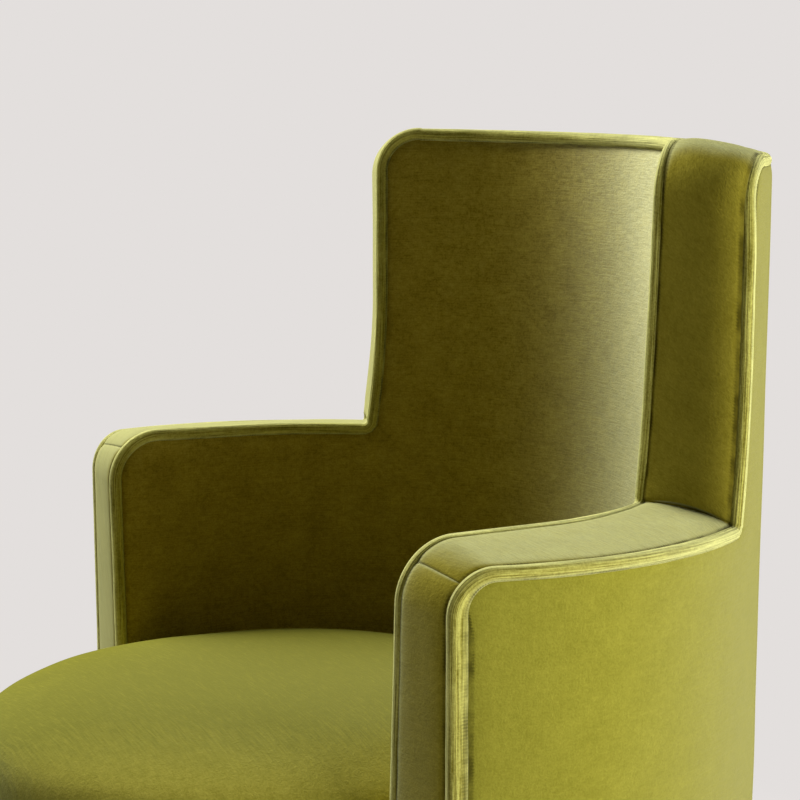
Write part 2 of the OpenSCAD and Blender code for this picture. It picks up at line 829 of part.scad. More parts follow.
module arm_front_post() {
    color(plywood)
        at_barrel()
            intersection() {
                frame_zone(bottom_rail_top, arm_rail_low);
                translate([0, board_front, 0]) cube([big, post_w, big]);
            }
}

module arm_front_post_left() {
    arm_front_post();
}

module arm_front_post_right() {
    right_side() arm_front_post();
}

// An upright between the bottom rail and the top rail, centred on an angle of the barrel
module upright(middle) {
    z0 = bottom_rail_top;
    z1 = back_rail_top - rail_h;
    rotate([0, 0, middle - post_angle / 2])
        rotate_extrude(angle = post_angle, $fn = 96)
            polygon([[inner_at(frame_in, z0), z0], [outer_at(frame_out, z0), z0], [outer_at(frame_out, z1), z1],
                [inner_at(frame_in, z1), z1], [frame_in, arm_height]]);
}

module step_post_left() {
    color(plywood)
        at_barrel()
            upright(step_post_from + post_angle / 2);
}

module step_post_right() {
    right_side() step_post_left();
}

module back_posts() {
    color(plywood)
        at_barrel()
            for (a = [76, 104])
                upright(a);
}

// Boards, foam and wadding of the wall
module inner_board() {
    color(plywood)
        at_barrel()
            inner_layer(inner_board_in, inner_board_out, wall_base, core_inset);
}

module outer_board() {
    color(plywood)
        at_barrel()
            outer_layer(outer_board_in, outer_board_out, tub_bottom, core_inset);
}

module inner_foam() {
    color(foam_colour)
        at_barrel()
            inner_layer(foam_in, foam_out, wall_base, core_inset);
}

module outer_wadding() {
    color(wadding_colour)
        at_barrel()
            outer_layer(wadding_in, wadding_out, tub_bottom, core_inset);
}

module rim_padding() {
    color(foam_colour)
        at_barrel()
            rim_band(0, rim_last, padding_top, rim_padding_t, boxing_crown, 2);
}

// Covers
module inner_panel() {
    color(velvet_dark)
        at_barrel()
            inner_layer(inner_radius, inner_radius + cover_t, wall_base, cover_inset);
}

module outer_panel() {
    color(velvet)
        at_barrel()
            outer_layer(panel_back, outer_radius, tub_bottom, cover_inset);
}

module boxing(first, last) {
    color(velvet)
        at_barrel()
            rim_band(first, last, boxing_rise, cover_t, boxing_crown, 4);
}

module arm_front_boxing_left() {
    boxing(0, front_seam_at);
}

module arm_front_boxing_right() {
    right_side() arm_front_boxing_left();
}

module arm_top_boxing_left() {
    boxing(front_seam_at, foot_seam_at);
}

module arm_top_boxing_right() {
    right_side() arm_top_boxing_left();
}

module back_boxing() {
    boxing(foot_seam_at, rim_last - foot_seam_at);
}

module inner_welt() {
    color(velvet)
        at_barrel()
            rim_welt(0);
}

module outer_welt() {
    color(velvet)
        at_barrel()
            rim_welt(1);
}

// Seat
hoop_out = inside_cover - gap;
module seat_hoop() {
    color(plywood)
        at_barrel()
            intersection() {
                translate([0, 0, hoop_z])
                    linear_extrude(height = hoop_h)
                        difference() {
                            seat_plan(hoop_out);
                            seat_plan(hoop_out - hoop_w);
                        }
                translate([0, -big / 2, 0]) cube([big, big, big]);
            }
}

module seat_hoop_left() {
    seat_hoop();
}

module seat_hoop_right() {
    right_side() seat_hoop();
}

belt_r = hoop_out - hoop_w / 3;
module webbing_lengthwise() {
    color(webbing_colour)
        at_barrel()
            for (i = [-2 : 2]) {
                x = i * belt_pitch;
                reach = sqrt(belt_r * belt_r - pow(abs(x) + belt_w / 2, 2));
                translate([x - belt_w / 2, -seat_forward - reach, belt_z])
                    cube([belt_w, 2 * reach + seat_forward, belt_t]);
            }
}

module webbing_crosswise() {
    color(webbing_colour)
        at_barrel()
            for (i = [-2 : 2]) {
                y = i * belt_pitch;
                reach = sqrt(belt_r * belt_r - pow(abs(y) + belt_w / 2, 2));
                translate([-reach, y - seat_forward / 2 - belt_w / 2, belt_z + belt_t + gap])
                    cube([2 * reach, belt_w, belt_t]);
            }
}

module seat_foam() {
    inset = cover_t + gap;
    color(foam_colour)
        at_barrel()
            dome([0, -crown_forward, seat_height - inset],
                concat([for (s = dome_shares) seat_ring(seat_radius - inset, s, dome_z(s) - inset, 1)],
                    [seat_ring(seat_radius - inset - side_draw * 0.75, 1, foam_z, 0)]),
                [0, -crown_forward, foam_z]);
}

module seat_cover() {
    outside = concat(seat_surface(0), [skirt_ring(seat_radius - side_draw)]);
    inside = concat([skirt_ring(seat_radius - side_draw - cover_t)],
        [for (i = [len(seat_surface(0)) - 1 : -1 : 0]) seat_surface(cover_t)[i]]);
    color(velvet)
        at_barrel()
            dome([0, -crown_forward, seat_height], concat(outside, inside),
                [0, -crown_forward, seat_height - cover_t]);
}

glides();
base_leg_front_left();
base_leg_front_right();
base_leg_rear_left();
base_leg_rear_right();
leg_bolts();
base_hub();
hub_cap();
column_tube();
lower_bush();
upper_bush();
lower_race();
ball_cage();
bearing_balls();
upper_race();
swivel_head();
spindle();
retaining_ring();
seat_plate();
plate_bolts();
tee_nuts();
dust_cover();
base_board();
wall_bottom_rail();
arm_rail_left();
arm_rail_right();
back_top_rail();
arm_front_post_left();
arm_front_post_right();
step_post_left();
step_post_right();
back_posts();
inner_board();
outer_board();
inner_foam();
outer_wadding();
rim_padding();
inner_panel();
outer_panel();
back_boxing();
arm_top_boxing_left();
arm_top_boxing_right();
arm_front_boxing_left();
arm_front_boxing_right();
inner_welt();
outer_welt();
seat_hoop_left();
seat_hoop_right();
webbing_lengthwise();
webbing_crosswise();
seat_foam();
seat_cover();
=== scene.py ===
import json
import math

import bmesh
import bpy
from bpy.props import FloatProperty, FloatVectorProperty, PointerProperty, StringProperty
from mathutils import Matrix, Vector, kdtree, noise


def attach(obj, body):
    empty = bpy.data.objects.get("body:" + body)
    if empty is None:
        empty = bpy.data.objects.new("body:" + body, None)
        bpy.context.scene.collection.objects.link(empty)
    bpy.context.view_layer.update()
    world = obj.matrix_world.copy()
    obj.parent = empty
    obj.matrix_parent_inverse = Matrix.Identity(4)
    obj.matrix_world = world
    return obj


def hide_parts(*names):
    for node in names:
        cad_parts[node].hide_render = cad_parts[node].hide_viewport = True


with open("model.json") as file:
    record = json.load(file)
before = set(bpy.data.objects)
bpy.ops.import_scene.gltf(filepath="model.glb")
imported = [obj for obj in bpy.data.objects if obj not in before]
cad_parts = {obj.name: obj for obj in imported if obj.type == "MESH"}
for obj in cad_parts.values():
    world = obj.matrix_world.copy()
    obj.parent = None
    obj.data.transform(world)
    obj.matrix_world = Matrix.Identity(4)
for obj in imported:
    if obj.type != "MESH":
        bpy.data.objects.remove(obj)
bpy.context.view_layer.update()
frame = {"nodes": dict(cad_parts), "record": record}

bl_info = {
    "name": "Swivel Chair Upholstery",
    "version": (1, 0, 0),
    "blender": (4, 5, 0),
    "location": "View3D > Sidebar > Chair",
    "description": "Covers, welts, seat, frame finishes and stage for a barrel swivel chair",
    "category": "Object",
}

MM = 0.001

# The tub wall's sizes in millimetres and degrees, as in the part's source
ARM_HEIGHT = 600.0
BACK_HEIGHT = 857.0
TUB_BOTTOM = 300.0
LINING_BOTTOM = 315.3
INNER_RADIUS = 235.5
SEAM_RADIUS = (238.0, 312.8)
FLARE_LOW, FLARE_HIGH, FLARE_OUTER = 2.5, 1.9, 0.3
ARM_REACH, FACE_RAKE, ARM_TOE = 104.0, 6.7, 3.4
ARM_SLOPE, BACK_SLOPE = 1.7, 1.0
STEP_ANGLE = (35.0, 33.8)
STEP_SWEEP, SWEEP_HEIGHT = 9.5, 130.0
RIM_FALL = 9.0
FRONT_CORNER = (39.0, 28.0)
BACK_CORNER, FOOT_RADIUS = 33.0, 8.0
WELT_R = 5.4
BOXING_RISE, BOXING_CROWN = 1.0, 2.5
CLOTH_THICKNESS = 1.6

# The seat's sizes
SEAT_HEIGHT, SEAT_RADIUS, SEAT_DOME = 449.5, 225.5, 61.0
SEAT_FORWARD, CROWN_FORWARD = 90.0, 70.0
SEAT_TILT, SIDE_DRAW = 3.8, 4.0
APRON_Y = -114.8

# The barrel's centre lies this far from the swivel axis
BARREL_Y = -1.99

# Stations of the seam line on each stretch: arm front, arm corner, arm top, step foot, swept step, straight step,
# back corner and back top
STRETCHES = (88, 24, 84, 8, 42, 28, 20, 110)

# The camera, solved from the photograph: pixels, degrees, and metres from the barrel's centre
PHOTO_WIDTH_PX, FOCAL_LENGTH_PX = 800, 2074.7
CAMERA_YAW, CAMERA_PITCH, CAMERA_ROLL = 59.122, 9.064, 0.051
CAMERA_PLACE = (1.40529, -0.80091, 0.91563)
SENSOR_WIDTH = 36

# Softboxes: name, place, aim, size and watts
SOFTBOXES = (
    ("left_softbox", (-2.18, -0.5, 2.6), (0, 0, 0.65), (1.8, 1.8), 240),
    ("back_softbox", (1.45, 2.5, 1.4), (0, 0, 0.65), (1.8, 1.8), 65),
    ("low_softbox", (2.587, 1.098, 0.5), (0, 0, 0.6), (1.5, 0.5), 74),
)
WORLD_LIGHT = 0.035
# The floor's paint is this share of the backdrop's colour, and it meets the backdrop between these radii
FLOOR_SHADE, FLOOR_FADE = 0.7, (0.5, 1.1)


def tan_deg(angle):
    return math.tan(math.radians(angle))


def mix(a, b, t):
    return a + (b - a) * t


def smooth(t):
    t = min(max(t, 0.0), 1.0)
    return t * t * (3 - 2 * t)


def passed(x, start, length):
    """Rises smoothly from 0 at the start to 1 a length further on."""
    return smooth((x - start) / length)


def hump(x, middle, width):
    """A smooth hump, 1 high at its middle and gone two widths away."""
    return math.exp(-((x - middle) / width) ** 2)


def inner_at(r, z):
    return r + (z - ARM_HEIGHT) * tan_deg(FLARE_LOW if z < ARM_HEIGHT else FLARE_HIGH)


def outer_at(r, z):
    return r + (z - ARM_HEIGHT) * tan_deg(FLARE_OUTER)


def arm_z(q, y):
    return ARM_HEIGHT - RIM_FALL * q - (y + ARM_REACH) * tan_deg(ARM_SLOPE)


def back_z(q, y):
    return BACK_HEIGHT - RIM_FALL * q - (y - INNER_RADIUS) * tan_deg(BACK_SLOPE)


def wall_angle(q, s):
    """Direction of the wall's normal at run s, in degrees from the sitter's left."""
    if q:
        return -math.degrees(s / SEAM_RADIUS[1])
    return ARM_TOE if s >= 0 else ARM_TOE - math.degrees(s / SEAM_RADIUS[0])


def wall_point(q, s, z, proud=0.0):
    """A point of the wall in millimetres: q is 0 for the lining's side and 1 for the outer side."""
    a = math.radians(wall_angle(q, s))
    r = (outer_at if q else inner_at)(SEAM_RADIUS[q] + proud, z)
    forward = 0 if q else max(s, 0)
    toe = math.radians(ARM_TOE)
    return Vector((r * math.cos(a) + forward * math.sin(toe), r * math.sin(a) - forward * math.cos(toe), z))


def wall_normal(q, s):
    a = math.radians(wall_angle(q, s))
    return Vector((math.cos(a), math.sin(a), 0))


def to_row(p):
    """Millimetres round the barrel's centre to metres in the part's frame."""
    return Vector((p.x * MM, (p.y + BARREL_Y) * MM, p.z * MM))


class Rim:
    """One side of the rim on the unrolled wall, from the arm's front foot to the middle of the back."""

    def __init__(self, q):
        self.q = q
        r = SEAM_RADIUS[q]
        turn = 0 if q else ARM_TOE
        reach = ARM_REACH - FACE_RAKE * q
        self.corner = FRONT_CORNER[q]
        if q:
            self.front_s = r * math.asin(reach / r)
        else:
            self.front_s = (r * math.sin(math.radians(ARM_TOE)) + reach) / math.cos(math.radians(ARM_TOE))
        self.corner_z = arm_z(q, self.corner - reach) - self.corner
        self.step_s = -math.radians(STEP_ANGLE[q] - turn) * r
        self.sweep = STEP_SWEEP * r / SEAM_RADIUS[0]
        self.heel = self.sweep_out(FOOT_RADIUS) + FOOT_RADIUS
        self.heel_s = self.step_s + self.heel
        foot_angle = math.radians(STEP_ANGLE[q] - math.degrees(self.heel / r))
        self.foot = arm_z(q, r * math.sin(foot_angle))
        self.crown = back_z(q, r * math.sin(math.radians(STEP_ANGLE[q])))
        self.middle_s = -math.radians(90 - turn) * r

    def sweep_out(self, up):
        return 0.0 if up > SWEEP_HEIGHT else self.sweep * (1 - up / SWEEP_HEIGHT) ** 2

    def arm_line(self, s):
        return arm_z(self.q, wall_point(self.q, s, ARM_HEIGHT).y)

    def back_line(self, s):
        return back_z(self.q, wall_point(self.q, s, BACK_HEIGHT).y)

    def stations(self):
        """Points of the seam line, and the numbers of those where one boxing strip ends."""
        out = []
        front, corner, arm_top, foot, swept, straight, turn, back_top = STRETCHES

        def run(count, place, skip=1):
            for i in range(skip, count + 1):
                out.append(place(i / count))

        def arc(t, s, z, r):
            return s + r * math.cos(t * math.pi / 2), z + r * math.sin(t * math.pi / 2)

        run(front, lambda t: (self.front_s, mix(TUB_BOTTOM, self.corner_z, t)), 0)
        run(corner, lambda t: arc(t, self.front_s - self.corner, self.corner_z, self.corner))
        front_seam = len(out) - 1 - corner // 2
        s0 = self.front_s - self.corner
        run(arm_top, lambda t: (mix(s0, self.heel_s, t), self.arm_line(mix(s0, self.heel_s, t))))
        run(foot, lambda t: (self.heel_s + FOOT_RADIUS * math.cos(math.radians(270 - 90 * t)),
                             self.foot + FOOT_RADIUS * (1 + math.sin(math.radians(270 - 90 * t)))))
        foot_seam = len(out) - 1 - foot // 2
        run(swept, lambda t: (self.step_s + self.sweep_out(mix(FOOT_RADIUS, SWEEP_HEIGHT, t)),
                              self.foot + mix(FOOT_RADIUS, SWEEP_HEIGHT, t)))
        top = self.crown - BACK_CORNER
        run(straight, lambda t: (self.step_s, mix(self.foot + SWEEP_HEIGHT, top, t)))
        run(turn, lambda t: arc(t, self.step_s - BACK_CORNER, top, BACK_CORNER))
        back_turn = len(out) - 1 - turn // 2
        s1 = self.step_s - BACK_CORNER
        run(back_top, lambda t: (mix(s1, self.middle_s, t), self.back_line(mix(s1, self.middle_s, t))))
        return out, front_seam, foot_seam, back_turn


RIMS = (Rim(0), Rim(1))
STATIONS = tuple(r.stations()[0] for r in RIMS)
FRONT_SEAM, FOOT_SEAM, BACK_TURN = RIMS[0].stations()[1:]
HALF = len(STATIONS[0]) - 1
LAST = 2 * HALF


def rim_station(q, i):
    """Point and wall normal of a rim station; the sitter's left side comes first, then its mirror image."""
    s, z = STATIONS[q][i if i <= HALF else LAST - i]
    p, n = wall_point(q, s, z), wall_normal(q, s)
    if i > HALF:
        p.x, n.x = -p.x, -n.x
    return p, n


def rim_along(q, i):
    return rim_station(q, min(i + 1, LAST))[0] - rim_station(q, max(i - 1, 0))[0]


def rim_lengths(q):
    total, out = 0.0, [0.0]
    for i in range(LAST):
        total += (rim_station(q, i + 1)[0] - rim_station(q, i)[0]).length
        out.append(total)
    return out


RIM_LENGTH = (rim_lengths(0), rim_lengths(1))


def rim_run(i, q):
    """Length along the rim up to a station, at share q of the way from the inner welt to the outer one."""
    return mix(RIM_LENGTH[0][i], RIM_LENGTH[1][i], q)


def wave(x, y, z, size):
    """Smooth unevenness between -1 and 1 whose bumps are about size millimetres across."""
    return noise.noise(Vector((x, y, z)) / size)


def grid(bm, columns, rows, place):
    """Adds a grid whose points place(column, row) puts in millimetres. It also gives each point its place on the
    cloth, and its run along the nearest seam and distance from it, which go into two UV maps in metres."""
    run = bm.loops.layers.uv.get("run") or bm.loops.layers.uv.new("run")
    seam = bm.loops.layers.uv.get("seam") or bm.loops.layers.uv.new("seam")
    before = set(bm.verts)
    bmesh.ops.create_grid(bm, x_segments=columns, y_segments=rows, size=0.5)
    spots = {}
    for v in [v for v in bm.verts if v not in before]:
        p, u, w, along, away = place(round((v.co.x + 0.5) * columns), round((v.co.y + 0.5) * rows))
        spots[v] = (u * MM, w * MM), (along * MM, away * MM)
        v.co = to_row(p)
    for f in {f for v in spots for f in v.link_faces}:
        f.smooth = True
        for loop in f.loops:
            loop[run].uv, loop[seam].uv = spots[loop.vert]


def sheet_mesh(name, columns, rows, place, close=False, thickness=0.0, flip=False):
    bm = bmesh.new()
    grid(bm, columns, rows, place)
    bmesh.ops.remove_doubles(bm, verts=bm.verts, dist=2e-6)
    if close:
        bmesh.ops.holes_fill(bm, edges=[e for e in bm.edges if e.is_boundary], sides=0)
    if flip:
        bmesh.ops.reverse_faces(bm, faces=bm.faces)
    if close:
        bmesh.ops.recalc_face_normals(bm, faces=bm.faces)
    return new_piece(name, bm, thickness)


def new_piece(name, bm, thickness=0.0):
    mesh = bpy.data.meshes.new(name)
    bm.to_mesh(mesh)
    bm.free()
    obj = bpy.data.objects.new(name, mesh)
    bpy.context.scene.collection.objects.link(obj)
    if thickness:
        thicken(obj, thickness)
    return obj


def thicken(obj, thickness):
    """Gives a cover its cloth's thickness, inwards."""
    solid = obj.modifiers.new("cloth thickness", "SOLIDIFY")
    solid.thickness = thickness * MM
    solid.offset = -1


def dress(obj, material, body, slot, *nodes):
    obj.data.materials.clear()
    obj.data.materials.append(material)
    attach(obj, body)
    if nodes:
        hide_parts(*nodes)


# Materials

def linear(code):
    """A colour written as an sRGB hex value, turned to linear."""
    values = [int(code[i:i + 2], 16) / 255 for i in (1, 3, 5)]
    return tuple(v / 12.92 if v <= 0.04045 else ((v + 0.055) / 1.055) ** 2.4 for v in values) + (1.0,)


def add(tree, kind, inputs=None, **settings):
    """Adds a node with its settings. An input is a value or another node's output."""
    node = tree.nodes.new(kind)
    for key, value in settings.items():
        setattr(node, key, value)
    for key, value in (inputs or {}).items():
        if isinstance(value, bpy.types.NodeSocket):
            tree.links.new(value, node.inputs[key])
        else:
            node.inputs[key].default_value = value
    return node


def new_material(name):
    material = bpy.data.materials.new(name)
    material.use_nodes = True
    material.node_tree.nodes.clear()
    return material, material.node_tree


def surface(tree, shader):
    out = add(tree, "ShaderNodeOutputMaterial")
    tree.links.new(shader.outputs[0], out.inputs["Surface"])


def ramp(tree, factor, *stops):
    node = add(tree, "ShaderNodeValToRGB", {"Fac": factor})
    while len(node.color_ramp.elements) < len(stops):
        node.color_ramp.elements.new(0.5)
    for element, (place, code) in zip(node.color_ramp.elements, stops):
        element.position = place
        element.color = linear(code)
    return node.outputs["Color"]


def velvet(name, dark, light, shine, streaks, along_rim=False, seams=False, painted_sheen=0.0, sheen_paint_colour="#DFE6BC",
           contrast=1.0, turn=(0.08, 0.62), row_length=15):
    """Cut-pile cotton velvet: a dense upright pile 1.5 mm high, dyed in the piece and woven in fine rows.
    Faced squarely it looks down into the dark pile. Where it is seen at a slant, a painted sheen turns its colour
    towards the given sheen colour, setting in and complete at the two values of turn. Contrast below 1 evens the pile
    out."""
    look = bpy.context.scene.chair_look
    material, tree = new_material(name)
    if along_rim:
        place = add(tree, "ShaderNodeUVMap", uv_map="run").outputs["UV"]
    else:
        place = add(tree, "ShaderNodeTexCoord").outputs["Object"]
    # Patches of pile that lean together, about 25 mm across
    lean = add(tree, "ShaderNodeTexNoise", {"Vector": place, "Scale": 40.0, "Detail": 3.0, "Roughness": 0.55})
    # Clumps of pile, about 5 mm across
    clump = add(tree, "ShaderNodeTexNoise", {"Vector": place, "Scale": 210.0, "Detail": 2.0, "Roughness": 0.6})
    # Tufts, drawn at 1.6 mm because the real 0.5 mm ones don't show
    tuft = add(tree, "ShaderNodeTexNoise", {"Vector": place, "Scale": 620.0, "Detail": 2.0, "Roughness": 0.6})
    # Rows of the weave, 1.2 mm apart and row_length millimetres long
    slow, rows_per_metre = 1000 / row_length, 820.0
    rows = add(tree, "ShaderNodeMapping", {"Vector": place, "Scale": (slow, rows_per_metre, slow)})
    row = add(tree, "ShaderNodeTexNoise", {"Vector": rows.outputs["Vector"], "Scale": 1.0, "Detail": 2.0,
                                           "Roughness": 0.5})
    total = None
    for part, share in ((lean, 0.45), (clump, 0.6), (tuft, 0.7), (row, streaks)):
        total = add(tree, "ShaderNodeMath", {0: part.outputs["Fac"], 1: share, 2: total.outputs[0] if total else 0.0},
                    operation="MULTIPLY_ADD")
    middle = 0.875 + streaks * 0.5
    spread = (0.17 + streaks * 0.12) / contrast
    depth = add(tree, "ShaderNodeMapRange", {"Value": total.outputs[0], "From Min": middle - spread,
                                             "From Max": middle + spread})
    colour = ramp(tree, depth.outputs["Result"], (0.0, dark), (1.0, light))
    if painted_sheen:
        # Painted sheen: the base colour turns towards the sheen colour where the surface is seen at a slant, unevenly
        # by row
        slant = add(tree, "ShaderNodeLayerWeight", {"Blend": 0.5})
        turned = add(tree, "ShaderNodeMapRange", {"Value": slant.outputs["Facing"], "From Min": turn[0],
                                                  "From Max": turn[1]}, interpolation_type="SMOOTHSTEP")
        uneven = add(tree, "ShaderNodeMath", {0: row.outputs["Fac"], 1: 0.9 * painted_sheen, 2: 0.55 * painted_sheen},
                     operation="MULTIPLY_ADD")
        amount = add(tree, "ShaderNodeMath", {0: turned.outputs[0], 1: uneven.outputs[0]}, operation="MULTIPLY",
                     use_clamp=True)
        pale = add(tree, "ShaderNodeMix", {0: amount.outputs[0], 6: colour, 7: linear(sheen_paint_colour)}, data_type="RGBA")
        colour = pale.outputs[2]
    if seams:
        colour = seam_shadow(tree, colour, tuft.outputs["Fac"], lean.outputs["Fac"])
    height = add(tree, "ShaderNodeMath", {0: row.outputs["Fac"], 1: 1.5 * streaks, 2: tuft.outputs["Fac"]},
                 operation="MULTIPLY_ADD")
    clumped = add(tree, "ShaderNodeMath", {0: clump.outputs["Fac"], 1: 0.9, 2: height.outputs[0]},
                  operation="MULTIPLY_ADD")
    bump = add(tree, "ShaderNodeBump", {"Strength": look.pile_relief, "Distance": 0.0006,
                                        "Height": clumped.outputs[0]})
    shader = add(tree, "ShaderNodeBsdfPrincipled", {
        "Base Color": colour, "Roughness": 0.9, "Specular IOR Level": 0.0, "Sheen Weight": look.sheen * shine,
        "Sheen Roughness": look.sheen_roughness, "Sheen Tint": linear(look.sheen_colour),
        "Normal": bump.outputs["Normal"]})
    surface(tree, shader)
    return material


def seam_shadow(tree, colour, tuft, lean):
    """Beside a seam the pile parts over each stitch, 2.4 mm apart, and shows its dark backing in a toothed line. The
    line is also painted shade in the seam's groove.
    """
    look = bpy.context.scene.chair_look
    stitch = 0.0024
    seam = add(tree, "ShaderNodeSeparateXYZ", {0: add(tree, "ShaderNodeUVMap", uv_map="seam").outputs["UV"]})
    tooth = add(tree, "ShaderNodeMath", {0: seam.outputs["X"], 1: stitch / 2}, operation="PINGPONG")
    tooth = add(tree, "ShaderNodeMath", {0: tooth.outputs[0], 1: 0.6}, operation="MULTIPLY")
    rough = add(tree, "ShaderNodeMath", {0: tuft, 1: stitch, 2: tooth.outputs[0]}, operation="MULTIPLY_ADD")
    away = add(tree, "ShaderNodeMath", {0: seam.outputs["Y"], 1: rough.outputs[0]}, operation="SUBTRACT")
    # Where the pile leans over the seam, less of the dark backing and painted shade shows
    least = add(tree, "ShaderNodeMapRange", {"Value": lean, "From Min": 0.4, "From Max": 0.6, "To Min": 0.3,
                                             "To Max": 0.75})
    cover = add(tree, "ShaderNodeMapRange", {"Value": away.outputs[0], "From Min": -0.0012, "From Max": 0.0008,
                                             "To Min": least.outputs["Result"]}, interpolation_type="SMOOTHSTEP")
    mixed = add(tree, "ShaderNodeMix", {0: cover.outputs["Result"], 6: linear(look.ground_and_seam_shade), 7: colour},
                data_type="RGBA")
    return mixed.outputs[2]


def plain(name, code, other, size, roughness, metallic=0.0, relief=0.0, stretch=(1, 1, 1), sheen=0.0):
    """A finish with colour and relief from one noise whose grains are size millimetres across."""
    material, tree = new_material(name)
    place = add(tree, "ShaderNodeTexCoord").outputs["Object"]
    turned = add(tree, "ShaderNodeMapping", {"Vector": place, "Scale": stretch})
    grain = add(tree, "ShaderNodeTexNoise", {"Vector": turned.outputs["Vector"], "Scale": 1000 / size, "Detail": 4.0,
                                             "Roughness": 0.6})
    colour = ramp(tree, grain.outputs["Fac"], (0.35, code), (0.65, other))
    inputs = {"Base Color": colour, "Roughness": roughness, "Metallic": metallic, "Sheen Weight": sheen}
    if relief:
        inputs["Normal"] = add(tree, "ShaderNodeBump", {"Strength": relief, "Distance": 0.0003,
                                                        "Height": grain.outputs["Fac"]}).outputs["Normal"]
    surface(tree, add(tree, "ShaderNodeBsdfPrincipled", inputs))
    return material


# Welts. Sizes are in millimetres, and a pair holds the inner cord's value and then the outer one's.

WELT_SIDES = 24
# How far the cord sways and how much its radius varies, each with the length of a bump
SWAY, SWAY_LENGTH = 0.35, 60
SWELL, SWELL_LENGTH = 0.03, 24
# The cover's gathers round the step's foot: share of the radius, radians for a millimetre, reach in stations
GATHER, GATHER_TURN, GATHER_REACH = 0.10, 2.4, 5.0
# Where the grooves lie round the cord, in degrees, and how far the flat cord's groove turns on
PANEL_GROOVE, STRIP_GROOVE, FLAT_TURN = (242, -46), (-4, 170), 6
# Stations between which the outer cord stops lying flat
FLAT_STATIONS = (90, 111)
# The groove's painted shade shows less by this much on level stretches, where light fills the groove
LEVEL_FADE = (0.3, 1.2)
# Tuck of the outer cord round the back's top, its start in stations before the corner, and its length in stations
TUCK, TUCK_LEAD, TUCK_LENGTH = 2.4, 20, 18


def crease(i):
    """How strongly the cover gathers at a rim station: 1 at the step's foot."""
    return hump(min(abs(i - FOOT_SEAM), abs(LAST - i - FOOT_SEAM)), 0, GATHER_REACH)


def drawn_flat(run):
    """How flat the outer cord lies at a length along the rim: 1 down the arm's front, 0 from the arm's top on."""
    run = min(run, RIM_LENGTH[1][LAST] - run)
    start, end = (RIM_LENGTH[1][i] for i in FLAT_STATIONS)
    return 1 - smooth((run - start) / (end - start))


def welt(name, q):
    def place(i, j):
        centre, out = rim_station(q, j)
        along = rim_along(q, j).normalized()
        up = out.cross(along).normalized()
        run = RIM_LENGTH[q][j]
        wobble = SWAY * wave(run, q * 50, 0, SWAY_LENGTH)
        gather = GATHER * crease(j) * (0.5 + 0.5 * math.sin(run * GATHER_TURN))
        r = WELT_R * (1 + SWELL * wave(run, 90, q * 50, SWELL_LENGTH) - gather)
        a = 2 * math.pi * i / WELT_SIDES
        # Down the arm's front the outer cord is drawn flat over the panel's edge
        flat = drawn_flat(run) if q else 0
        rise = r * math.sin(a) * (1 + flat * smooth(-math.sin(a)))
        if q:
            # Round the back's top the outer cord lies flush with the panel
            wobble -= TUCK * passed(min(j, LAST - j), BACK_TURN - TUCK_LEAD, TUCK_LENGTH)
        p = centre + out * (wobble + r * math.cos(a)) + up * rise
        panel = abs(math.remainder(a - math.radians(PANEL_GROOVE[q] - FLAT_TURN * flat), 2 * math.pi))
        strip = abs(math.remainder(a - math.radians(STRIP_GROOVE[q]), 2 * math.pi))
        # Distance from the nearer groove, for the seam's partly painted shade, which fades on level stretches
        away = WELT_R * min(panel, strip) + LEVEL_FADE[q] * (1 - abs(along.z))
        return p, run, WELT_R * a, run, away

    return sheet_mesh(name, WELT_SIDES, LAST, place, close=True)


# Boxing strips. Sizes are in millimetres unless a comment says stations.

STRIP_COLUMNS = 30
# Distance of the strip's edge from the cord's centre, and its plain height at the edges and in the middle
STRIP_EDGE, STRIP_RISE, STRIP_CROWN = 3.2, BOXING_RISE + 1.6, BOXING_CROWN - 0.9
# How much fuller the strip is up the step, at the back's corner, and towards the outer welt up the step
STEP_FULL, CORNER_FULL, FLANK_FULL = 3.6, 3.0, 1.5
# Share of that fullness on the sitter's right, and the stations over which it changes
FAR_SHARE, FAR_CHANGE = 0.25, 180
# Share of the width at which the strip is fullest up the step, and how much fuller it is there
SKEW, SKEW_CROWN = 0.65, 1.3
# Distance from a cord at which the strip has its full shape
SHOULDER = 15
# Depth and width of the dip beside a cord and at a seam across the strip
CORD_DIP, END_DIP = (0.7, 2.6), (1.0, 3.2)
# How far the seam at the step's foot bows up, and the bow's reach in stations
FOOT_BOW, BOW_REACH = 6.0, 15
# Unevenness and the length of its bumps
STRIP_UNEVEN, STRIP_BUMP = 0.35, 45
# Distance from the cord's centre to the line of painted seam shade, its offset at a seam across, and its fading where
# level
CORD_LINE, END_LINE, LEVEL_LINE = 4.6, 0.8, 0.4
# Stands for a seam too far away to matter
NO_SEAM = 99


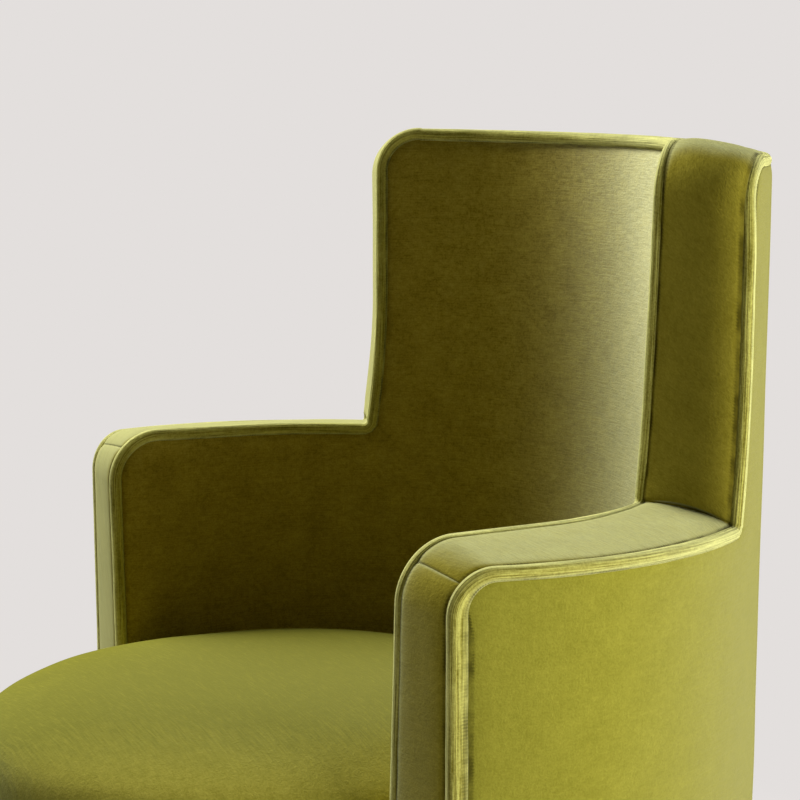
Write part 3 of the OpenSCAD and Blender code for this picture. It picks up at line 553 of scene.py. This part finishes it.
def boxing(name, first, last):
    def place(i, j):
        k = first + j
        near = min(k, LAST - k)
        inner, outer = rim_station(0, k)[0], rim_station(1, k)[0]
        across, along = outer - inner, rim_along(0, k) + rim_along(1, k)
        width = across.length
        up = across.cross(along).normalized()
        edge = STRIP_EDGE / width
        t = i / STRIP_COLUMNS
        q = mix(edge, 1 - edge, 0.5 - 0.5 * math.cos(math.pi * t) if 0 < t < 1 else t)
        side = min(q, 1 - q) * width
        run = rim_run(k, q)
        end = min(run - rim_run(first, q) if first else NO_SEAM, rim_run(last, q) - run if last < LAST else NO_SEAM)
        # The strip is stuffed fuller up the step, and fills the back's top corner nearly square. Its fullness changes
        # over these counts of stations.
        full = passed(near, FOOT_SEAM - 45, 40) * (1 - 0.7 * passed(near, BACK_TURN, 25))
        step = passed(near, FOOT_SEAM, 12) * (1 - passed(near, BACK_TURN - 6, 12))
        # On the sitter's right the strip lies lower than its welt
        stuffing = mix(1.0, FAR_SHARE, passed(k, HALF - FAR_CHANGE / 2, FAR_CHANGE))
        crown = STRIP_CROWN + stuffing * (STEP_FULL * full + CORNER_FULL * hump(near, BACK_TURN, 9))
        # Up the step the fullest part lies towards the outer welt
        even = 1 - abs(2 * q - 1) ** 3
        skewed = math.sin(math.pi / 2 * q / SKEW) if q < SKEW else 1 - ((q - SKEW) / (1 - SKEW)) ** 2
        rise = STRIP_RISE + crown * mix(even, SKEW_CROWN * skewed, step)
        flank = 1 - max(1 - side / SHOULDER, 0) ** 2 if q > 0.5 else 1
        rise += FLANK_FULL * stuffing * step * smooth(1.3 * q) * flank
        rise -= CORD_DIP[0] * hump(side, STRIP_EDGE, CORD_DIP[1])
        rise -= END_DIP[0] * hump(end, 0, END_DIP[1])
        p = mix(inner, outer, q)
        # The seam at the step's foot bows up in the middle
        bow = FOOT_BOW * 4 * q * (1 - q) * hump(near, FOOT_SEAM, BOW_REACH)
        p += along.normalized() * (bow if k < HALF else -bow)
        rise += STRIP_UNEVEN * wave(p.x, p.y, p.z, STRIP_BUMP) * smooth(side / SHOULDER)
        # Distance from the seams, for their partly painted shade, which fades where the strip lies level
        away = min(max(side - CORD_LINE, 0), end + END_LINE) + LEVEL_LINE * smooth(2 * up.z - 0.6)
        return p + up * rise, q * width, run, run, away

    return sheet_mesh(name, STRIP_COLUMNS, last - first, place, thickness=CLOTH_THICKNESS, flip=True)


# Panels of the wall. Sizes are in millimetres, and a pair holds the lining's value and then the outer panel's.

# Spacing of the points on which the nearest place of the rim's seam is found
SEAM_SPACING = 0.8
# Spacing of the grid at a seam, at the step's foot, round the wall and up it, and how fast it grows from a seam
AT_SEAM, AT_FOOT, ROUND_STEP, UP_STEP, GROWTH = 1.2, 2.0, 6.5, 7.0, 0.22
# Typical heights of the rows below and above the step's foot
LOW_HEIGHT, HIGH_HEIGHT = 280, 250
# Reach of the steep dip beside a cord, and reach and depth of the gentle one
STEEP_DIP, GENTLE_REACH, GENTLE_DIP = 4.5, 16, (1.8, 0.4)
# Where the outer cord lies flat, the panel's edge and the seam's line move by this much
FLAT_MOVE, FLAT_LINE = 4.5, 1.6
# Distance from the panel's edge to the line of painted seam shade, and the line's fading where it runs level
PANEL_LINE, PANEL_FADE = (1.0, 2.2), (0.3, 2.2)
# Unevenness of the padding, the length of its bumps, and the distance from a seam at which it is full
PANEL_UNEVEN, PANEL_BUMP, PANEL_SHOULDER = 0.5, 70, 40


def rim_tree(q):
    """A search tree of points along the rim's seam, and how level the seam runs at each."""
    points = STATIONS[q]
    dense = []
    for (s0, z0), (s1, z1) in zip(points, points[1:]):
        count = max(1, round(math.hypot(s1 - s0, z1 - z0) / SEAM_SPACING))
        dense += [(mix(s0, s1, i / count), mix(z0, z1, i / count)) for i in range(count)]
    dense.append(points[-1])
    tree = kdtree.KDTree(len(dense))
    for i, (s, z) in enumerate(dense):
        tree.insert((s, z, 0), i)
    tree.balance()
    level = [abs(b[0] - a[0]) / math.hypot(b[0] - a[0], b[1] - a[1]) for a, b in zip(dense, dense[1:])]
    return tree, level + level[-1:]


def spread(first, last, start, step, finish=None):
    """Numbers from first to last whose spacing grows from start to step, and shrinks again to finish."""
    sign = 1 if last > first else -1
    length = abs(last - first)
    out, x = [0.0], 0.0
    while x < length:
        near = start + GROWTH * x
        far = (finish if finish else step) + GROWTH * (length - x)
        x += min(step, near, far)
        out.append(x)
    scale = length / out[-1]
    return [first + sign * v * scale for v in out]


def wall_panel(name, q, bottom, proud, inset, sink):
    """The lining or the outer panel, so far proud of the seam's surface, ending an inset from the seam and sinking
    so deep towards it."""
    rim = RIMS[q]
    tree, level = rim_tree(q)
    front = rim.front_s - inset
    round_r = FOOT_RADIUS + inset
    centre_s, centre_z = rim.heel_s, rim.foot + FOOT_RADIUS
    knee = round_r * math.sqrt(0.5)
    knee_s, knee_z = centre_s - knee, centre_z - knee
    corner_r = rim.corner - inset
    back_r = BACK_CORNER - inset
    step_edge = rim.step_s - inset
    back_top = rim.crown - BACK_CORNER

    def lower_top(s):
        if s > rim.front_s - rim.corner:
            d = min(s - (rim.front_s - rim.corner), corner_r)
            return rim.corner_z + math.sqrt(corner_r ** 2 - d ** 2)
        if s > centre_s:
            return rim.arm_line(s) - inset
        if s > knee_s:
            return centre_z - math.sqrt(round_r ** 2 - (s - centre_s) ** 2)
        return knee_z

    def edge(z):
        if z < centre_z:
            return centre_s - math.sqrt(max(round_r ** 2 - (z - centre_z) ** 2, 0))
        return rim.step_s + rim.sweep_out(z - rim.foot) - inset

    def upper_top(s):
        s1 = rim.step_s - BACK_CORNER
        if s > s1:
            d = min(s - s1, back_r)
            return back_top + math.sqrt(back_r ** 2 - d ** 2)
        return rim.back_line(s) - inset

    arm_columns = spread(front, knee_s, AT_SEAM, ROUND_STEP, AT_FOOT)
    back_columns = spread(knee_s, rim.middle_s, AT_FOOT, ROUND_STEP)
    columns = arm_columns + back_columns[1:]
    turn = len(arm_columns) - 1
    half = len(columns) - 1
    low_rows = spread(1.0, 0.0, AT_SEAM / LOW_HEIGHT, UP_STEP / LOW_HEIGHT)[::-1]
    coarse = UP_STEP / HIGH_HEIGHT
    high_rows = spread(0.0, 0.5, AT_FOOT / HIGH_HEIGHT, coarse)
    high_rows += spread(0.5, 1.0, coarse, coarse, AT_SEAM / HIGH_HEIGHT)[1:]

    def finish(s, z, mirrored):
        number, distance = tree.find((s, z, 0))[1:]
        run = number * SEAM_SPACING
        flat = drawn_flat(run) if q else 0
        gap = distance - inset - FLAT_MOVE * flat
        sunk = sink * math.exp(-(max(gap, 0) / STEEP_DIP) ** 1.6)
        sunk += GENTLE_DIP[q] * hump(distance, 0, GENTLE_REACH)
        outward = 1 if q else -1
        side = -1 if mirrored else 1
        p = wall_point(q, s, z, proud)
        lift = PANEL_UNEVEN * smooth(distance / PANEL_SHOULDER) * wave(p.x * side, p.y, p.z, PANEL_BUMP)
        lift += fold(q, s, z)
        p = p + wall_normal(q, s) * outward * (lift - sunk)
        p.x *= side
        # Distance from the seam, for its partly painted shade, which fades where the seam runs level
        away = max(gap - (PANEL_LINE[q] + FLAT_LINE * flat), 0) + PANEL_FADE[q] * level[number]
        return p, side * (s - rim.middle_s), z, run, away

    def lower(i, j):
        mirrored = i > half
        s = columns[2 * half - i if mirrored else i]
        return finish(s, mix(bottom, lower_top(s), low_rows[j]), mirrored)

    upper_half = half - turn

    def upper(i, j):
        mirrored = i > upper_half
        k = 2 * upper_half - i if mirrored else i
        c = (knee_s - columns[turn + k]) / (knee_s - rim.middle_s)
        top = upper_top(mix(step_edge, rim.middle_s, c))
        z = mix(knee_z, top, high_rows[j])
        return finish(mix(min(edge(z), knee_s) if z < centre_z else edge(z), rim.middle_s, c), z, mirrored)

    bm = bmesh.new()
    grid(bm, 2 * half, len(low_rows) - 1, lower)
    grid(bm, 2 * upper_half, len(high_rows) - 1, upper)
    bmesh.ops.remove_doubles(bm, verts=bm.verts, dist=2e-5)
    faces_out = sum(f.normal.xy.dot(f.calc_center_median().xy) for f in bm.faces)
    if (faces_out > 0) != bool(q):
        bmesh.ops.reverse_faces(bm, faces=bm.faces)
    return new_piece(name, bm, CLOTH_THICKNESS)


def fold(q, s, z):
    """Soft upright folds in the lining below the step, where the cover is drawn round the inside corner."""
    top, length = 12, 120
    foot = RIMS[0].foot
    if q or z > foot + top:
        return 0.0
    down = max(foot - z, 0)
    fade = smooth(down / top) * hump(down, 0, length)
    out = 0.0
    for shift, width, height in ((0, 3.5, -0.9), (9, 4.5, 0.5), (-11, 5.0, 0.35), (20, 6.0, -0.35)):
        out += height * hump(s, RIMS[0].step_s + 3 + shift * (1 + down / 160), width)
    return out * fade


# Seat

# Powers that shape the dome: flat on top, and steep at its edge
DOME_FLAT, DOME_STEEP = 2.6, 2.2
# Depth over which the cover's lower edge changes from the apron's to the lining's
APRON_DEPTH = 12
# Heights in metres below which the cover is held while it is filled, and open underneath
HELD_BELOW, OPEN_BELOW = 0.335, 0.345
VOXEL, FILL_FRAMES = 0.0062, 20
FILLING = {"vertex_group_mass": "held", "quality": 6, "mass": 0.4, "tension_stiffness": 30,
           "compression_stiffness": 30, "shear_stiffness": 15, "bending_stiffness": 6, "use_pressure": True,
           "uniform_pressure_force": 4}


def seat_reach(a, r):
    c, s = math.cos(a), math.sin(a)
    side = r / max(abs(c), 1e-4)
    y = -CROWN_FORWARD + side * s
    if y > 0:
        return CROWN_FORWARD * s + math.sqrt(r * r - (CROWN_FORWARD * c) ** 2)
    if y < -SEAT_FORWARD:
        d = SEAT_FORWARD - CROWN_FORWARD
        return -d * s + math.sqrt(r * r - (d * c) ** 2)
    return side


def seat_point(a, r, share, z, lean):
    reach = seat_reach(a, r) * share
    return Vector((reach * math.cos(a), reach * math.sin(a) - CROWN_FORWARD,
                   z - lean * reach * math.sin(a) * tan_deg(SEAT_TILT)))


def seat_bottom(y):
    return mix(TUB_BOTTOM, LINING_BOTTOM, smooth((y - APRON_Y + APRON_DEPTH) / APRON_DEPTH))


def seat_form(name, inset):
    """The closed, slightly smaller form that the seat's cover is filled from."""
    around, dome_rows, side_rows, base_rows = 144, 40, 14, 12
    full_z = SEAT_HEIGHT - SEAT_DOME

    def place(i, j):
        a = 2 * math.pi * i / around
        if j <= dome_rows:
            t = math.sin(math.pi / 2 * j / dome_rows)
            z = SEAT_HEIGHT - SEAT_DOME * (1 - (1 - t ** DOME_FLAT) ** (1 / DOME_STEEP)) - inset
            p = seat_point(a, SEAT_RADIUS - inset, t, z, 1)
        elif j <= dome_rows + side_rows:
            t = (j - dome_rows) / side_rows
            p = seat_point(a, SEAT_RADIUS - inset - SIDE_DRAW * smooth(t * 1.3), 1, 0, 0)
            p.z = mix(seat_point(a, SEAT_RADIUS, 1, full_z - inset, 1).z, seat_bottom(p.y), t)
        else:
            t = (j - dome_rows - side_rows) / base_rows
            p = seat_point(a, SEAT_RADIUS - inset - SIDE_DRAW, 1 - t, 0, 0)
            p.z = seat_bottom(p.y)
        return p, a, j, 0, 0

    return sheet_mesh(name, around, dome_rows + side_rows + base_rows, place, close=True)


def fill_cushion(obj, cap):
    """Fills the cover by pressure, as foam does, and keeps what moved no further than the cap."""
    remesh = obj.modifiers.new("even mesh", "REMESH")
    remesh.mode = "VOXEL"
    remesh.voxel_size = VOXEL
    remesh.use_smooth_shade = True
    graph = bpy.context.evaluated_depsgraph_get()
    even = bpy.data.meshes.new_from_object(obj.evaluated_get(graph))
    obj.modifiers.clear()
    obj.data = even
    rest = [v.co.copy() for v in even.vertices]
    held = obj.vertex_groups.new(name="held")
    held.add([v.index for v in even.vertices if v.co.z < HELD_BELOW], 1.0, "REPLACE")
    cloth = obj.modifiers.new("filling", "CLOTH")
    for key, value in FILLING.items():
        setattr(cloth.settings, key, value)
    cloth.settings.effector_weights.gravity = 0
    cloth.point_cache.frame_start = 1
    cloth.point_cache.frame_end = FILL_FRAMES
    for number in range(1, FILL_FRAMES + 1):
        bpy.context.scene.frame_set(number)
    graph = bpy.context.evaluated_depsgraph_get()
    full = obj.evaluated_get(graph).data
    moved = [v.co.copy() for v in full.vertices]
    obj.modifiers.clear()
    bpy.context.scene.frame_set(1)
    for v, start, end in zip(obj.data.vertices, rest, moved):
        step = end - start
        if step.dot(v.normal) > 0:
            v.co = start + step * (min(step.length, cap) / max(step.length, 1e-9))


# Operators

def dye(name, description, code):
    return StringProperty(name=name, description=description, default=code)


def strength(name, description, value):
    return FloatProperty(name=name, description=description, default=value, min=0, max=1, subtype="FACTOR")


class ChairLook(bpy.types.PropertyGroup):
    pile_dark: dye("Deep pile", "Colour seen down in the pile", "#736F1F")
    pile_light: dye("Lit pile", "Colour of the pile's lit tufts", "#8E8A30")
    lining_dark: dye("Deep lining", "Colour down in the lining's pile", "#7B6A12")
    lining_light: dye("Lit lining", "Colour of the lining's lit tufts", "#A69637")
    seat_dark: dye("Deep seat pile", "Colour down in the seat's worn pile", "#8D8628")
    seat_light: dye("Lit seat pile", "Colour of the seat's lit tufts", "#A19938")
    strip_dark: dye("Deep strip", "Colour down in the boxing strips' pile", "#706617")
    strip_light: dye("Lit strip", "Colour of the boxing strips' lit tufts", "#8E842C")
    welt_dark: dye("Deep welt", "Colour between the rows of pile on the welts", "#70691E")
    # The welts' lit colour is paler than the other pieces': partly the stretched pile, partly painted sheen and light
    welt_light_and_sheen: dye("Lit welt", "Colour of the stretched pile on the welts", "#BAB55C")
    # Dark colour beside the seams: partly the backing cloth and stitches, partly painted shade in the grooves
    ground_and_seam_shade: dye("Ground", "Colour of the ground cloth where the pile parts", "#1C1602")
    sheen_colour: dye("Sheen colour", "Colour of the pile's shine along edges", "#E6F0DA")
    sheen: strength("Sheen", "How strongly the pile shines along edges", 0.25)
    sheen_roughness: strength("Sheen spread", "How far the shine spreads from the edges", 0.55)
    pile_relief: strength("Pile relief", "Strength of the pile's relief", 0.6)
    seat_swell: FloatProperty(name="Seat swell", description="How far the seat's cover may fill out", default=0.004,
                              min=0, max=0.02, unit="LENGTH", subtype="DISTANCE")
    floor_radius: FloatProperty(name="Floor radius", description="Radius of the floor", default=12.0, min=2, max=40,
                                unit="LENGTH", subtype="DISTANCE")
    background: FloatVectorProperty(name="Background", description="Linear colour of the backdrop", subtype="COLOR",
                                    default=linear("#E3DFDD")[:3], min=0, max=1)


class CHAIR_OT_dress_welts(bpy.types.Operator):
    """Makes the two covered cords that edge the wall"""
    bl_idname = "chair.dress_welts"
    bl_label = "Dress welts"

    def execute(self, context):
        look = context.scene.chair_look
        # A pale painted sheen where the cords are seen at a slant
        cloth = velvet("velvet_on_welts", look.welt_dark, look.welt_light_and_sheen, 0.0, 2.0, along_rim=True,
                       seams=True, painted_sheen=0.26, sheen_paint_colour="#DDE3AE", row_length=60)
        for name, q, node in (("inner_welt_cord", 0, "inner_welt"), ("outer_welt_cord", 1, "outer_welt")):
            dress(welt(name, q), cloth, "chair", "upholstery_velvet", node)
        return {"FINISHED"}


class CHAIR_OT_dress_boxing(bpy.types.Operator):
    """Makes the strips between the welts, with their seams"""
    bl_idname = "chair.dress_boxing"
    bl_label = "Dress boxing"

    def execute(self, context):
        look = context.scene.chair_look
        # A pale painted sheen where the strips are seen at a slant
        cloth = velvet("velvet_on_boxing", look.strip_dark, look.strip_light, 0.1, 0.15, along_rim=True,
                       seams=True, painted_sheen=0.22, sheen_paint_colour="#DCE8BC", contrast=0.6, turn=(0.3, 0.66))
        for name, first, last, node in (
                ("arm_front_strip_left", 0, FRONT_SEAM, "arm_front_boxing_left"),
                ("arm_top_strip_left", FRONT_SEAM, FOOT_SEAM, "arm_top_boxing_left"),
                ("back_strip", FOOT_SEAM, LAST - FOOT_SEAM, "back_boxing"),
                ("arm_top_strip_right", LAST - FOOT_SEAM, LAST - FRONT_SEAM, "arm_top_boxing_right"),
                ("arm_front_strip_right", LAST - FRONT_SEAM, LAST, "arm_front_boxing_right")):
            dress(boxing(name, first, last), cloth, "chair", "upholstery_velvet", node)
        return {"FINISHED"}


class CHAIR_OT_dress_panels(bpy.types.Operator):
    """Makes the lining and the outer panel of the tub"""
    bl_idname = "chair.dress_panels"
    bl_label = "Dress panels"

    def execute(self, context):
        look = context.scene.chair_look
        lining = wall_panel("lining_cover", 0, LINING_BOTTOM, -3.2, 2.8, 2.4)
        # A pale painted sheen where the lining is seen at a slant
        cloth = velvet("velvet_on_lining", look.lining_dark, look.lining_light, 0.4, 0.45, along_rim=True,
                       seams=True, painted_sheen=0.4)
        dress(lining, cloth, "chair", "upholstery_velvet", "inner_panel")
        outer = wall_panel("outer_cover", 1, TUB_BOTTOM, 4.0, 3.0, 1.1)
        # A greyer painted sheen where the outer panel is seen at a slant
        cloth = velvet("velvet_on_outside", look.pile_dark, look.pile_light, 0.2, 0.15, along_rim=True,
                       seams=True, painted_sheen=0.6, sheen_paint_colour="#827F50", contrast=0.5, turn=(0.2, 0.8))
        dress(outer, cloth, "chair", "upholstery_velvet", "outer_panel")
        return {"FINISHED"}


class CHAIR_OT_dress_seat(bpy.types.Operator):
    """Makes the seat's cover, filled out by simulation"""
    bl_idname = "chair.dress_seat"
    bl_label = "Dress seat"

    def execute(self, context):
        look = context.scene.chair_look
        cover = seat_form("seat_cushion_cover", 1.0)
        fill_cushion(cover, look.seat_swell)
        bm = bmesh.new()
        bm.from_mesh(cover.data)
        under = [f for f in bm.faces if f.normal.z < -0.7 and f.calc_center_median().z < OPEN_BELOW]
        bmesh.ops.delete(bm, geom=under, context="FACES")
        for f in bm.faces:
            f.smooth = True
        bm.to_mesh(cover.data)
        bm.free()
        thicken(cover, CLOTH_THICKNESS)
        even = cover.modifiers.new("even tension", "SMOOTH")
        even.factor, even.iterations = 0.5, 20
        finer = cover.modifiers.new("finer", "SUBSURF")
        finer.levels = finer.render_levels = 1
        # The seat's sheen colour is darker: painted shade where the seat is seen at a slant
        cloth = velvet("velvet_on_seat", look.seat_dark, look.seat_light, 0.5, 0.1, painted_sheen=1.0, sheen_paint_colour="#6A681A")
        dress(cover, cloth, "chair", "upholstery_velvet", "seat_cover")
        return {"FINISHED"}


class CHAIR_OT_finish_frame(bpy.types.Operator):
    """Gives the padding, the timber frame, the swivel and the base their finishes"""
    bl_idname = "chair.finish_frame"
    bl_label = "Finish frame and base"

    def execute(self, context):
        finishes = {
            # Open-cell polyurethane foam, cut: matt and cream with fine pores
            "upholstery_foam": plain("polyurethane_foam", "#DCCFA0", "#EFE5BF", 1.5, 0.95, relief=0.6),
            # Bonded polyester wadding: soft white fibres
            "polyester_wadding": plain("polyester_wadding", "#E2E2DE", "#F4F4F2", 4, 0.95, relief=0.4, sheen=0.3),
            # Birch plywood, sanded and raw: pale with long darker grain
            "birch_plywood": plain("birch_plywood", "#B8935F", "#D9BB8A", 6, 0.6, relief=0.15, stretch=(1, 1, 0.15)),
            # Woven elastic webbing: black with ribs across
            "elastic_webbing": plain("elastic_webbing", "#101011", "#242426", 2, 0.85, relief=0.5),
            # Non-woven cambric: thin matt black fleece
            "black_cambric": plain("non_woven_cambric", "#0C0C0D", "#1A1A1B", 1.2, 0.95, relief=0.3),
            # Zinc-plated mild steel: bright with cloudy patches
            "zinc_plated_steel": plain("zinc_plated_steel", "#A9ABAE", "#C3C5C7", 9, 0.34, metallic=1.0),
            # Brushed stainless tube: fine lines round it
            "brushed_steel_tube": plain("brushed_steel", "#A5A6A8", "#BEBFC1", 3, 0.32, metallic=1.0, relief=0.1,
                                        stretch=(0.1, 0.1, 4)),
            # Cast aluminium, ground and polished by hand: bright with soft waves
            "polished_aluminium": plain("polished_aluminium", "#C4C5C6", "#D3D4D5", 14, 0.16, metallic=1.0),
            # Turned brass, left plain
            "brass_cage": plain("turned_brass", "#A8843C", "#C09A4C", 3, 0.3, metallic=1.0),
            # Moulded nylon: matt black with a fine spark texture
            "black_nylon": plain("moulded_nylon", "#151515", "#1F1F1F", 0.8, 0.55, relief=0.3),
        }
        slots = {part["node"]: part["material_slot"] for part in frame["record"]["subparts"]}
        look = context.scene.chair_look
        velvet_cad = velvet("velvet_plain", look.pile_dark, look.pile_light, 1.0, 0.1)
        for name, node in frame["nodes"].items():
            node.data.materials.clear()
            node.data.materials.append(finishes.get(slots[name], velvet_cad))
        return {"FINISHED"}


class CHAIR_OT_build_stage(bpy.types.Operator):
    """Makes the floor, the light and the camera"""
    bl_idname = "chair.build_stage"
    bl_label = "Build stage"

    def execute(self, context):
        look = context.scene.chair_look
        pale = tuple(look.background) + (1.0,)
        bm = bmesh.new()
        bmesh.ops.create_circle(bm, cap_ends=True, segments=128, radius=look.floor_radius)
        floor = new_piece("floor", bm)
        floor.data.materials.append(self.floor_material(pale))
        self.world(context, pale)
        for softbox in SOFTBOXES:
            self.lamp(context, *softbox)
        self.camera(context)
        return {"FINISHED"}

    def floor_material(self, pale):
        """Painted studio floor: plain and matt. Away from the chair it has the backdrop's own colour."""
        material, tree = new_material("studio_floor")
        place = add(tree, "ShaderNodeTexCoord").outputs["Object"]
        far = add(tree, "ShaderNodeVectorMath", {0: place}, operation="LENGTH")
        fade = add(tree, "ShaderNodeMapRange", {"Value": far.outputs["Value"], "From Min": FLOOR_FADE[0],
                                                "From Max": FLOOR_FADE[1]}, interpolation_type="SMOOTHSTEP")
        rays = add(tree, "ShaderNodeLightPath")
        amount = add(tree, "ShaderNodeMath", {0: fade.outputs["Result"], 1: rays.outputs["Is Camera Ray"]},
                     operation="MULTIPLY")
        paint = add(tree, "ShaderNodeBsdfDiffuse", {"Color": tuple(v * FLOOR_SHADE for v in pale[:3]) + (1.0,)})
        glow = add(tree, "ShaderNodeEmission", {"Color": pale, "Strength": 1.0})
        surface(tree, add(tree, "ShaderNodeMixShader", {0: amount.outputs[0], 1: paint.outputs[0],
                                                        2: glow.outputs[0]}))
        return material

    def world(self, context, pale):
        world = bpy.data.worlds.new("studio")
        context.scene.world = world
        world.use_nodes = True
        tree = world.node_tree
        tree.nodes.clear()
        rays = add(tree, "ShaderNodeLightPath")
        light = add(tree, "ShaderNodeBackground", {"Color": (1.0, 0.98, 0.96, 1), "Strength": WORLD_LIGHT})
        shown = add(tree, "ShaderNodeBackground", {"Color": pale, "Strength": 1.0})
        seen = add(tree, "ShaderNodeMath", {0: rays.outputs["Is Camera Ray"], 1: rays.outputs["Is Glossy Ray"]},
                   operation="MAXIMUM")
        both = add(tree, "ShaderNodeMixShader", {0: seen.outputs[0], 1: light.outputs[0], 2: shown.outputs[0]})
        tree.links.new(both.outputs[0], add(tree, "ShaderNodeOutputWorld").inputs["Surface"])

    def lamp(self, context, name, place, aim, size, watts):
        data = bpy.data.lights.new(name, "AREA")
        data.shape = "RECTANGLE"
        data.size, data.size_y = size
        data.energy = watts
        lamp = bpy.data.objects.new(name, data)
        lamp.location = place
        lamp.rotation_euler = (Vector(aim) - Vector(place)).to_track_quat("-Z", "Y").to_euler()
        context.scene.collection.objects.link(lamp)

    def camera(self, context):
        data = bpy.data.cameras.new("camera")
        data.sensor_width = SENSOR_WIDTH
        data.lens = FOCAL_LENGTH_PX / PHOTO_WIDTH_PX * SENSOR_WIDTH
        data.clip_end = 60
        camera = bpy.data.objects.new("camera", data)
        yaw, pitch, roll = (math.radians(v) for v in (CAMERA_YAW, CAMERA_PITCH, CAMERA_ROLL))
        forward = Vector((-math.sin(yaw) * math.cos(pitch), math.cos(yaw) * math.cos(pitch), -math.sin(pitch)))
        right = Vector((math.cos(yaw), math.sin(yaw), 0))
        up = right.cross(forward)
        turn = Matrix((right, up, -forward)).transposed()
        camera.rotation_euler = (turn @ Matrix.Rotation(-roll, 3, "Z")).to_euler()
        x, y, z = CAMERA_PLACE
        camera.location = (x, y + BARREL_Y * MM, z)
        context.scene.collection.objects.link(camera)
        context.scene.camera = camera


class CHAIR_PT_panel(bpy.types.Panel):
    """Lists the steps that dress the chair"""
    bl_label = "Chair"
    bl_idname = "CHAIR_PT_panel"
    bl_space_type = "VIEW_3D"
    bl_region_type = "UI"
    bl_category = "Chair"

    def draw(self, context):
        look = context.scene.chair_look
        for name in look.__annotations__:
            self.layout.prop(look, name)
        for step in STEPS:
            self.layout.operator(step)


STEPS = ("chair.build_stage", "chair.finish_frame", "chair.dress_welts", "chair.dress_boxing", "chair.dress_panels",
         "chair.dress_seat")
CLASSES = (ChairLook, CHAIR_OT_dress_welts, CHAIR_OT_dress_boxing, CHAIR_OT_dress_panels, CHAIR_OT_dress_seat,
           CHAIR_OT_finish_frame, CHAIR_OT_build_stage, CHAIR_PT_panel)


def register():
    for kind in CLASSES:
        bpy.utils.register_class(kind)
    bpy.types.Scene.chair_look = PointerProperty(type=ChairLook)


def unregister():
    del bpy.types.Scene.chair_look
    for kind in reversed(CLASSES):
        bpy.utils.unregister_class(kind)


def main():
    register()
    bpy.context.scene.view_settings.view_transform = "Standard"
    bpy.ops.chair.build_stage()
    bpy.ops.chair.finish_frame()
    bpy.ops.chair.dress_welts()
    bpy.ops.chair.dress_boxing()
    bpy.ops.chair.dress_panels()
    bpy.ops.chair.dress_seat()


if __name__ == "__main__":
    main()
